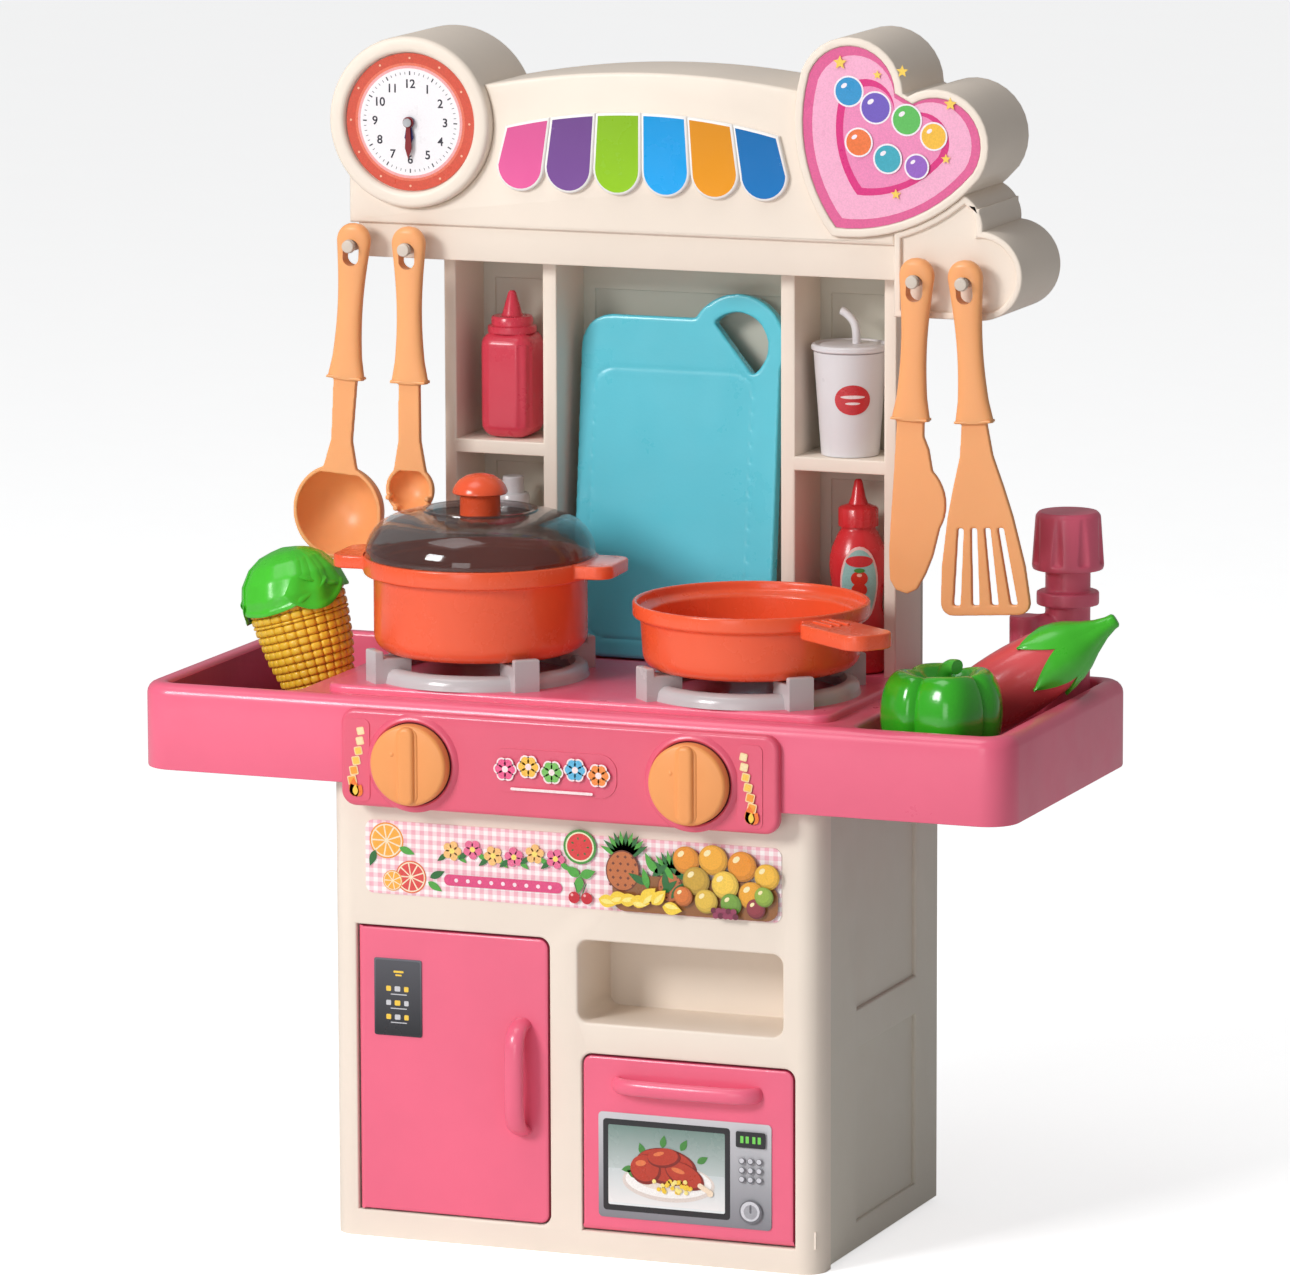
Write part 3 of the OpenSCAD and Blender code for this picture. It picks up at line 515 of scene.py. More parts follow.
class Sheet:
    """Flat shapes printed on an upright face that looks to the front, stacked in thin layers."""

    step = 0.035

    def __init__(self, name, y):
        self.name, self.y, self.layer, self.parts = name, y, 0, []

    def _lay(self, obj, material, up):
        self.layer += up
        obj.data.materials.append(material)
        obj.data.transform(Matrix.Translation((0, (self.y - self.step * (1 + self.layer)) * MM, 0)))
        self.parts.append(obj)

    def disc(self, x, z, w, material, h=None, turn=0, sides=32, up=1):
        """An ellipse, or with few sides a regular figure."""
        h = w if h is None else h
        clear()
        bpy.ops.mesh.primitive_circle_add(vertices=sides, radius=0.5 * MM, fill_type="NGON")
        obj = bpy.context.active_object
        spin = Matrix.Rotation(math.radians(turn), 4, "Z")
        flat = Matrix.Rotation(math.radians(90), 4, "X")
        grow = Matrix.Diagonal((w, h, 1, 1))
        obj.data.transform(Matrix.Translation((x * MM, 0, z * MM)) @ flat @ spin @ grow)
        self._lay(obj, material, up)

    def shape(self, points, material, up=1):
        """A filled outline given as (x, z) points in mm, anticlockwise as seen from the front."""
        obj = new_mesh(self.name, [(x * MM, 0, z * MM) for x, z in points], (), [list(range(len(points)))])
        self._lay(obj, material, up)

    def bar(self, x, z, w, h, material, r=0, turn=0, up=1):
        """A rectangle with round corners."""
        r = min(r, w / 2 - 0.01, h / 2 - 0.01)
        pts = round_rect(0, 0, w, h, r, 5) if r > 0 else [(-w / 2, -h / 2), (w / 2, -h / 2), (w / 2, h / 2),
                (-w / 2, h / 2)]
        c, s = math.cos(math.radians(turn)), math.sin(math.radians(turn))
        self.shape([(x + px * c - pz * s, z + px * s + pz * c) for px, pz in pts], material, up)

    def leaf(self, x, z, length, width, turn, material, up=1):
        """A pointed leaf from its foot at x, z, running out along turn degrees."""
        c, s = math.cos(math.radians(turn)), math.sin(math.radians(turn))
        side = [(length * t, width / 2 * math.sin(math.pi * t ** 0.8)) for t in [i / 8 for i in range(9)]]
        pts = [(px, -pz) for px, pz in side] + [(px, pz) for px, pz in reversed(side[1:-1])]
        self.shape([(x + px * c - pz * s, z + px * s + pz * c) for px, pz in pts], material, up)

    def star(self, x, z, r, material, points=5, inner=0.45, turn=90, up=1):
        pts = []
        for i in range(2 * points):
            a = math.radians(turn + 180 * i / points)
            k = r if i % 2 == 0 else r * inner
            pts.append((x + k * math.cos(a), z + k * math.sin(a)))
        self.shape(pts, material, up)

    def text(self, words, x, z, size, material, up=1):
        """Numbers of a dial."""
        clear()
        bpy.ops.object.text_add()
        obj = bpy.context.active_object
        obj.data.body = words
        obj.data.size = size * MM
        obj.data.offset = 0.02 * size * MM
        obj.data.align_x, obj.data.align_y = "CENTER", "CENTER"
        bpy.ops.object.convert(target="MESH")
        obj = bpy.context.active_object
        obj.data.transform(
            Matrix.Translation((x * MM, 0, z * MM)) @ Matrix.Rotation(math.radians(90), 4, "X"))
        self._lay(obj, material, up)

    def finish(self, body):
        """Joins the shapes and gives the film its thickness."""
        obj = join(self.name, self.parts)
        apply(obj, "SOLIDIFY", thickness=self.step * 0.8 * MM, offset=-1)
        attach(obj, body)
        return obj


def slice_print(sheet, x, z, r, rind, flesh, pith, wedges=9, up=1):
    """A round slice of citrus: rind, pith and wedges."""
    sheet.disc(x, z, 2 * r, rind, up=up)
    sheet.disc(x, z, 1.84 * r, pith)
    sheet.layer += 1
    for i in range(wedges):
        a = TAU * i / wedges
        b = TAU / wedges * 0.42
        pts = [(x + 0.1 * r * math.cos(a), z + 0.1 * r * math.sin(a))]
        pts += [(x + 0.84 * r * math.cos(a + b * k),
                 z + 0.84 * r * math.sin(a + b * k)) for k in (-1, -0.5, 0, 0.5, 1)]
        sheet.shape(pts, flesh, up=0)


# ---- operators ----


def colours():
    return bpy.context.scene.kitchen_colours


def sizes():
    return bpy.context.scene.kitchen_sizes


def cream():
    return plastic("cream_shell", tuple(colours().cream), rough=0.42, swing=0.035)


def pink():
    return plastic("pink_shell", tuple(colours().pink), rough=0.34, coat=0.35)


def deep_pink():
    return plastic("control_pink", tuple(colours().deep_pink), rough=0.34, coat=0.35)


def peach():
    return plastic("peach_tool", tuple(colours().peach), rough=0.36, glow=0.12, swing=0.05)


def orange():
    return plastic("orange_cookware", tuple(colours().orange), rough=0.26, coat=0.25)


class KITCHEN_OT_stage(bpy.types.Operator):
    """Floor, lights and camera"""

    bl_idname = "kitchen.stage"
    bl_label = "Stage"

    def execute(self, context):
        scene = bpy.context.scene
        scene.view_settings.view_transform = "Standard"
        aim = Vector((0.0359, -0.0715, 0.2873))
        az, el, roll = (math.radians(v) for v in (21.38, 9.72, -0.18))
        back = Vector((math.sin(az) * math.cos(el), -math.cos(az) * math.cos(el), math.sin(el)))
        data = bpy.data.cameras.new("camera")
        camera = bpy.data.objects.new("camera", data)
        scene.collection.objects.link(camera)
        camera.location = aim + back * 3.8247
        camera.rotation_mode = "QUATERNION"
        camera.rotation_quaternion = (-back).to_track_quat("-Z", "Y") @ Quaternion((0, 0, 1), roll)
        data.lens, data.sensor_width, data.clip_end = 237.4, 36, 30
        scene.camera = camera
        clear()
        bpy.ops.mesh.primitive_plane_add(size=14)
        floor = bpy.context.active_object
        floor.name = "floor"
        paint_mat = plastic("floor_paint", (0.93, 0.93, 0.93), rough=0.8, swing=0.01)
        floor.data.materials.append(paint_mat)
        nodes, links = paint_mat.node_tree.nodes, paint_mat.node_tree.links
        ray = nodes.new("ShaderNodeLightPath")
        lift = nodes.new("ShaderNodeEmission")
        both = nodes.new("ShaderNodeAddShader")
        out = nodes["Material Output"]
        links.new(ray.outputs["Is Camera Ray"], lift.inputs["Strength"])
        lift.inputs["Color"].default_value = (0.62, 0.62, 0.62, 1)
        links.new(out.inputs["Surface"].links[0].from_socket, both.inputs[0])
        links.new(lift.outputs["Emission"], both.inputs[1])
        links.new(both.outputs["Shader"], out.inputs["Surface"])
        world = bpy.data.worlds.new("studio")
        world.use_nodes = True
        scene.world = world
        tree = world.node_tree
        seen = tree.nodes.new("ShaderNodeBackground")
        seen.inputs["Color"].default_value = (0.97, 0.97, 0.97, 1)
        fill = tree.nodes["Background"]
        fill.inputs["Color"].default_value = (0.98, 0.99, 1, 1)
        fill.inputs["Strength"].default_value = 0.27
        path = tree.nodes.new("ShaderNodeLightPath")
        mix = tree.nodes.new("ShaderNodeMixShader")
        tree.links.new(path.outputs["Is Camera Ray"], mix.inputs["Fac"])
        tree.links.new(fill.outputs["Background"], mix.inputs[1])
        tree.links.new(seen.outputs["Background"], mix.inputs[2])
        tree.links.new(mix.outputs["Shader"], tree.nodes["World Output"].inputs["Surface"])
        for name, place_at, size, power in (("key", (-1.25, -2.3, 1.5), 0.8, 47),
                ("top", (-0.5, -0.6, 2.4), 1.2, 13),
                                           ("front", (0.1, -3.2, 0.6), 1.0, 9)):
            light = bpy.data.lights.new(name, "AREA")
            light.size, light.energy = size, power
            lamp = bpy.data.objects.new(name, light)
            scene.collection.objects.link(lamp)
            lamp.location = place_at
            way = Vector((0, 0, 0.3)) - Vector(place_at)
            lamp.rotation_mode = "QUATERNION"
            lamp.rotation_quaternion = way.to_track_quat("-Z", "Y")
        return {"FINISHED"}


class KITCHEN_OT_cabinet(bpy.types.Operator):
    """Cabinet walls with rounded openings, and the linings behind them"""

    bl_idname = "kitchen.cabinet"
    bl_label = "Cabinet"

    def execute(self, context):
        r = sizes().edge_round
        front = copy_of("front_panel", "front_wall")
        round_edges(front, r, lambda x, y, z: y < FRONT_Y + 0.1 and 9 < z < 160)
        piece(front, "cabinet", cream(), ["front_panel"])
        for side in ("left", "right"):
            wall = copy_of("side_panel_" + side, side + "_wall")
            for v in wall.data.vertices:
                x, y, z = v.co / MM
                if 118.0 < abs(x) < 118.6 and 12 < z < 216:
                    v.co.x -= math.copysign(0.9 * MM, x)
            round_edges(wall, 1.1 * MM, lambda x, y, z: abs(x) > 119.3 and 10 < z < 220 and -30 < y < 75, 4)
            # The side walls take a greyer, darker cream than the front: painted shade on the sides.
            piece(wall, "cabinet",
                  plastic("side_cream", srgb(218, 211, 197), rough=0.42, swing=0.035),
                  ["side_panel_" + side])
        for node in ("rear_panel", "base_plate", "fridge_liner", "oven_liner", "niche_liner"):
            paint(node, cream())
        for node in ("fridge_hinge_pins", "oven_hinge_pins"):
            paint(node, plastic("hinge_red", srgb(168, 34, 66), rough=0.36))
        paint("assembly_screws", metal("pin_steel", (0.6, 0.6, 0.62)))
        return {"FINISHED"}


class KITCHEN_OT_doors(bpy.types.Operator):
    """Fridge and oven doors with their handles"""

    bl_idname = "kitchen.doors"
    bl_label = "Doors"

    def execute(self, context):
        # A dark crimson on the doors' side faces: painted shadow in the gap round each door.
        edge = plastic("door_edge", srgb(150, 30, 60), rough=0.4)
        for what in ("fridge", "oven"):
            body = what + "_door"
            door = copy_of(body, what + "_door_shell")
            piece(door, body, pink(), [body])
            door.data.materials.append(edge)
            for face in door.data.polygons:
                if abs(face.normal.y) < 0.5 and face.center.y > (FRONT_Y + 0.9) * MM:
                    face.material_index = 1
            round_edges(door, 1.5 * MM, lambda x, y, z: y < FRONT_Y + 0.1, 4)
            smooth(door, 32)
        x = 0.5 * sum(v.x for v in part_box("fridge_handle")) / MM
        lo, hi = (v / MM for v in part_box("fridge_handle"))
        top = lo.y + 2.9
        path = [(x, FRONT_Y + 1, lo.z + 3.2), (x, FRONT_Y - 1.5, lo.z + 3.2), (x, top + 2.6, lo.z + 5.5),
                (x, top, lo.z + 13), (x, top - 0.2, 0.5 * (lo.z + hi.z)), (x, top, hi.z - 13),
                (x, top + 2.6, hi.z - 5.5),
                (x, FRONT_Y - 1.5, hi.z - 3.2), (x, FRONT_Y + 1, hi.z - 3.2)]
        grip = rod("fridge_grip", path, 2.9, wide=1.6)
        piece(grip, "fridge_door", pink(), ["fridge_handle"], 60)
        lo, hi = (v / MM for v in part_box("oven_handle"))
        z, top = 0.5 * (lo.z + hi.z), lo.y + 2.5
        path = [(lo.x + 3, FRONT_Y + 1, z), (lo.x + 3, FRONT_Y - 1.5, z), (lo.x + 6, top + 1.8, z),
                (lo.x + 15, top, z), (0.5 * (lo.x + hi.x), top - 0.2, z), (hi.x - 15, top, z),
                (hi.x - 6, top + 1.8, z),
                (hi.x - 3, FRONT_Y - 1.5, z), (hi.x - 3, FRONT_Y + 1, z)]
        grip = rod("oven_grip", path, 2.5, wide=1.5, across="Z")
        piece(grip, "oven_door", pink(), ["oven_handle"], 60)
        return {"FINISHED"}


class KITCHEN_OT_worktop(bpy.types.Operator):
    """Worktop moulding, control plate, knobs and hob rings"""

    bl_idname = "kitchen.worktop"
    bl_label = "Worktop"

    def execute(self, context):
        top = copy_of("worktop", "worktop_shell")
        lo, hi = (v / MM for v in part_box("worktop"))
        rim = 253.5

        def outer(x, y, z):
            cx, cy = abs(x) - (hi.x - 15), abs(y - (lo.y + hi.y) / 2) - ((hi.y - lo.y) / 2 - 15)
            far = math.hypot(cx, cy) if cx > 0 and cy > 0 else max(cx, cy)
            return abs(z - rim) < 0.1 and far > 14.9

        round_edges(top, sizes().rim_round, outer, 5)
        round_edges(
            top, 2.2 * MM, lambda x, y, z: abs(z - rim) < 0.1 and 135 < abs(x) < 202.5 and -72.5 < y < 84.5, 4)
        round_edges(top, 1.8 * MM, lambda x, y, z: z > rim + 3, 4)
        round_edges(top, 1.0 * MM, lambda x, y, z: z < 213.6 and abs(x) > 1, 2)
        piece(top, "cabinet", pink(), ["worktop"])
        # A darker pink on the faces inside the trays: painted shade in the deep trays.
        tray_shade = plastic("tray_well", shade(tuple(colours().pink), 0.42), rough=0.4, coat=0.2)
        top.data.materials.append(tray_shade)
        for face in top.data.polygons:
            x, y, z = face.center / MM
            if 138 < abs(x) < 206 and -71 < y < 83 and z < rim - 3.2 and (
                    face.normal.z > 0.5 or abs(x) < 200 and abs(y - 6) < 75 or face.normal.x * x < -0.5 * abs(x)):
                face.material_index = 1
        deep = deep_pink()
        back = PANEL_Y + 5.5
        plate = slab("control_face", round_rect(-2, 226.5, 213, 45, 7, 8), back, PANEL_Y + 1.5, 2.2, 5)
        lip = slab("control_lip", round_rect(-2, 206.7, 192, 2.4, 0.8, 3), FRONT_Y - 0.4, back, 0)
        parts = [plate, lip]
        for side in ("left", "right"):
            lo, hi = (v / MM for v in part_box("knob_" + side))
            cx, cz = (lo.x + hi.x) / 2, (lo.z + hi.z) / 2
            ring = lathe("ring", [(19.0, 0), (19.2, 0.9), (20.0, 1.5), (21.2, 1.3), (22.2, 0.4), (22.6, 0)],
                         72)
            parts.append(place(ring, at(cx, PANEL_Y + 1.55, cz) @ Matrix.Rotation(math.radians(90), 4, "X")))
            # A thin dark ring in the crack round each dial: painted shade in the gap.
            gap = lathe("gap", [(17.4, 0.06), (19.3, 0.06)], 72)
            place(gap, at(cx, PANEL_Y + 1.5, cz) @ Matrix.Rotation(math.radians(90), 4, "X"))
            piece(gap, "cabinet", plastic("knob_gap", srgb(110, 36, 44), rough=0.6))
            disc = lathe("disc", [(0, 0), (17.4, 0), (18.6, 0.9), (18.6, 5.4), (18.1, 6.5), (17.0, 7.0),
                                  (6, 7.0), (0, 7.0)], 72)
            place(disc, at(cx, PANEL_Y + 1.1, cz) @ Matrix.Rotation(math.radians(90), 4, "X"))
            ridge = slab("ridge", round_rect(cx, cz, 7.8, 36, 3.4, 8), lo.y + 3.2, lo.y, 1.9, 5)
            foot = slab("foot", round_rect(cx, cz, 10.6, 35.4, 4.2, 8), lo.y + 3, lo.y + 2.0, 0.9, 3)
            clear()
            bpy.ops.mesh.primitive_uv_sphere_add(segments=20, ring_count=12, radius=1.3 * MM)
            dot = bpy.context.active_object
            place(dot, at(cx - 7.5, lo.y + 2.9, cz + 5) @ Matrix.Diagonal((1, 0.5, 1, 1)))
            knob = join(side + "_dial", [disc, ridge, foot, dot])
            piece(knob, "knob_" + side, plastic("knob_peach", srgb(240, 158, 92), rough=0.36),
                  ["knob_" + side], 50)
            ring = copy_of("burner_" + side, side + "_hob_ring")
            round_edges(ring, 1.0 * MM, lambda x, y, z: z > 264.5, 4, 50)
            piece(ring, "cabinet",
                  plastic("grey_ring", tuple(colours().grey), rough=0.22, coat=0.3),
                  ["burner_" + side], 40)
        plate = join("control_plate", parts)
        piece(plate, "cabinet", deep, ["control_panel"], 40)
        return {"FINISHED"}


class KITCHEN_OT_shelves(bpy.types.Operator):
    """Columns, shelves, back panel and header with its clock, heart and cloud"""

    bl_idname = "kitchen.shelves"
    bl_label = "Shelf unit and header"

    def execute(self, context):
        frame_shell = copy_of("shelf_frame", "side_racks")
        round_edges(frame_shell, 0.9 * MM, lambda x, y, z: y < 51)
        piece(frame_shell, "cabinet", cream(), ["shelf_frame"])
        back = copy_of("back_panel", "shelf_back")
        round_edges(back, 0.5 * MM, lambda x, y, z: y < 86 and abs(x) < 104 and 256 < z < 436, 2)
        # The shelf back takes a darker, greyer cream: painted shade at the back of the bays.
        piece(back, "cabinet",
              plastic("back_cream", srgb(204, 200, 186), rough=0.45, swing=0.035), ["back_panel"])
        header = copy_of("header_shell", "header_moulding")
        face_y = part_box("header_shell")[0].y / MM
        round_edges(header, sizes().header_round, lambda x, y, z: y < face_y + 0.05, 4)
        round_edges(header, 0.8 * MM, lambda x, y, z: abs(y - 37) < 0.05 and z < 441, 2)
        piece(header, "cabinet", cream(), ["header_shell"])
        for node, name, width in (("clock_housing", "clock_ring", 2.4), ("heart_housing", "heart_rim", 1.0),
                                  ("cloud_panel", "cloud_rim", 0.9)):
            part = copy_of(node, name)
            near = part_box(node)[0].y / MM
            round_edges(part, width * MM, lambda x, y, z: y < near + 0.05, 4)
            piece(part, "cabinet", cream(), [node])
        paint("header_back_cover", cream())
        pegs = copy_of("utensil_pegs", "peg_heads")
        round_edges(pegs, 0.6 * MM, lambda x, y, z: y < 21, 3)
        piece(pegs, "cabinet", plastic("peg_cream", srgb(214, 200, 186), rough=0.3),
              ["utensil_pegs"])
        return {"FINISHED"}


class KITCHEN_OT_clock(bpy.types.Operator):
    """Dial print and hands"""

    bl_idname = "kitchen.clock"
    bl_label = "Clock"

    def execute(self, context):
        lo, hi = (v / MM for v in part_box("clock_face"))
        cx, cz, r = (lo.x + hi.x) / 2, (lo.z + hi.z) / 2, (hi.x - lo.x) / 2
        paint("clock_face", ink("dial_rim", srgb(214, 84, 62)))
        dial = Sheet("clock_print", lo.y)
        dial.disc(cx, cz, 2 * r * 0.86, ink("dial_light_red", srgb(232, 118, 92)), sides=64)
        dial.disc(cx, cz, 2 * r * 0.82, ink("dial_pink", srgb(240, 170, 170)), sides=64)
        dial.disc(cx, cz, 2 * r * 0.78, ink("dial_white", srgb(244, 240, 242), swing=0.03), sides=64)
        dark = ink("dial_black", srgb(50, 48, 60))
        dial.layer += 1
        for i in range(60):
            a = TAU * i / 60
            long = i % 5 == 0
            dial.bar(cx + 0.71 * r * math.sin(a), cz + 0.71 * r * math.cos(a), 0.6 if long else 0.28,
                     1.9 if long else 1.2, dark, turn=-math.degrees(a), up=0)
        for i in range(1, 13):
            a = TAU * i / 12
            dial.text(str(i), cx + 0.55 * r * math.sin(a), cz + 0.55 * r * math.cos(a), 5.6, dark, up=0)
        for i in range(12):
            a = TAU * i / 12
            dial.disc(cx + 0.93 * r * math.sin(a), cz + 0.93 * r * math.cos(a), 1.1,
                      ink("dial_spot", srgb(248, 190, 160)), sides=12, up=0)
        dial.finish("cabinet")
        paint("clock_hour_hand", plastic("navy_hand", srgb(44, 46, 104), rough=0.3))
        paint("clock_minute_hand", plastic("dark_red_hand", srgb(132, 34, 40), rough=0.3))
        paint("clock_pivot", metal("pin_steel", (0.6, 0.6, 0.62)))
        return {"FINISHED"}


class KITCHEN_OT_badge(bpy.types.Operator):
    """Heart print with balloons and stars"""

    bl_idname = "kitchen.badge"
    bl_label = "Heart badge"

    def execute(self, context):
        lo, hi = (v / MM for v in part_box("heart_badge"))
        paint("heart_badge", ink("heart_ring", srgb(226, 96, 150)))
        centre = Vector(((lo.x + hi.x) / 2 + 1.5, 0, (lo.z + hi.z) / 2 + 1))
        hearts = []
        for i, (k, name, rgb) in enumerate(((0.9, "heart_pale", (247, 176, 206)),
                (0.64, "heart_magenta", (222, 44, 128)),
                                           (0.56, "heart_soft", (240, 140, 186)))):
            inner = copy_of("heart_badge", "heart_layer")
            grow = (Matrix.Translation(centre * MM) @ Matrix.Diagonal((k, 1, k, 1))
                    @ Matrix.Translation(-centre * MM))
            place(inner, at(0, -0.05 * (i + 1), 0) @ grow)
            inner.data.materials.append(ink(name, srgb(*rgb)))
            hearts.append(inner)
        base = join("heart_print", hearts)
        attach(base, "cabinet")
        deco = Sheet("heart_balloons", lo.y - 0.16)
        cx, cz = centre.x, centre.z
        for dx, dz, r, rgb in ((-22, 20, 6.4, (48, 150, 206)), (-9, 13, 6.8, (112, 88, 190)),
                               (6, 8, 6.6, (94, 190, 90)),
                               (19, 1, 5.8, (246, 190, 60)), (-17, -3, 6, (240, 120, 60)),
                               (-3, -10, 6.2, (60, 170, 190)),
                               (11, -13, 5.2, (150, 96, 196))):
            name = "balloon_%d_%d_%d" % rgb
            deco.disc(cx + dx, cz + dz, 2 * r + 1.6, ink("balloon_edge", srgb(250, 240, 246)))
            deco.disc(cx + dx, cz + dz, 2 * r, ink(name, srgb(*rgb)), up=1)
            deco.disc(cx + dx - r * 0.35, cz + dz + r * 0.4, r * 0.5,
                      ink("balloon_edge", srgb(250, 240, 246)),
                      h=r * 0.3, turn=35)
        for dx, dz, r in ((-26, 33, 3.4), (4, 30, 3), (27, 16, 3.2), (-8, 28, 2.2), (25, -9, 2.4),
                          (1, -26, 2.6)):
            deco.star(cx + dx, cz + dz, r, ink("star_yellow", srgb(250, 210, 90)), up=0)
        deco.finish("cabinet")
        return {"FINISHED"}


class KITCHEN_OT_awning(bpy.types.Operator):
    """Striped awning in relief, wider at its scalloped foot"""

    bl_idname = "kitchen.awning"
    bl_label = "Awning"

    def execute(self, context):
        tones = ((236, 98, 161), (123, 79, 152), (148, 203, 19), (12, 166, 240), (238, 154, 22),
                 (5, 115, 188))
        lo, hi = (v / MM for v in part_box("awning"))
        mid, pitch, hem = 0.5 * (lo.x + hi.x), (hi.x - lo.x + 1) / 6, lo.z + 11.5

        def crown(x):
            return hi.z + 1.2 - 9.5 * ((x - mid) / 72) ** 2

        def column(i, inset):
            """Outline of one stripe: a round foot, sides that draw in, and a piece of the arch on top."""
            x = mid + (i - 2.5) * pitch
            r = pitch / 2 - inset
            pts = [(x + r * math.cos(math.radians(a)),
                    hem + r * math.sin(math.radians(a))) for a in range(180, 361, 12)]
            x0, x1 = (mid + (x + k * r - mid) * 0.935 for k in (-1, 1))
            top = [x1 + (x0 - x1) * k / 6 for k in range(7)]
            return pts + [(t, crown(t) - inset) for t in top]

        parts = [slab("tongue", column(i, 0.05), hi.y, lo.y, 0.9, 3) for i in range(6)]
        base = join("awning_tongues", parts)
        piece(base, "cabinet", plastic("awning_white", srgb(240, 236, 232), rough=0.35),
              ["awning"])
        film = Sheet("awning_stripes", lo.y)
        for i, rgb in enumerate(tones):
            film.shape(
                column(i, 1.35), fade("stripe_%d" % i, srgb(*rgb), shade(srgb(*rgb), 0.80), "Z", 478, 514), up=0)
        film.finish("cabinet")
        return {"FINISHED"}


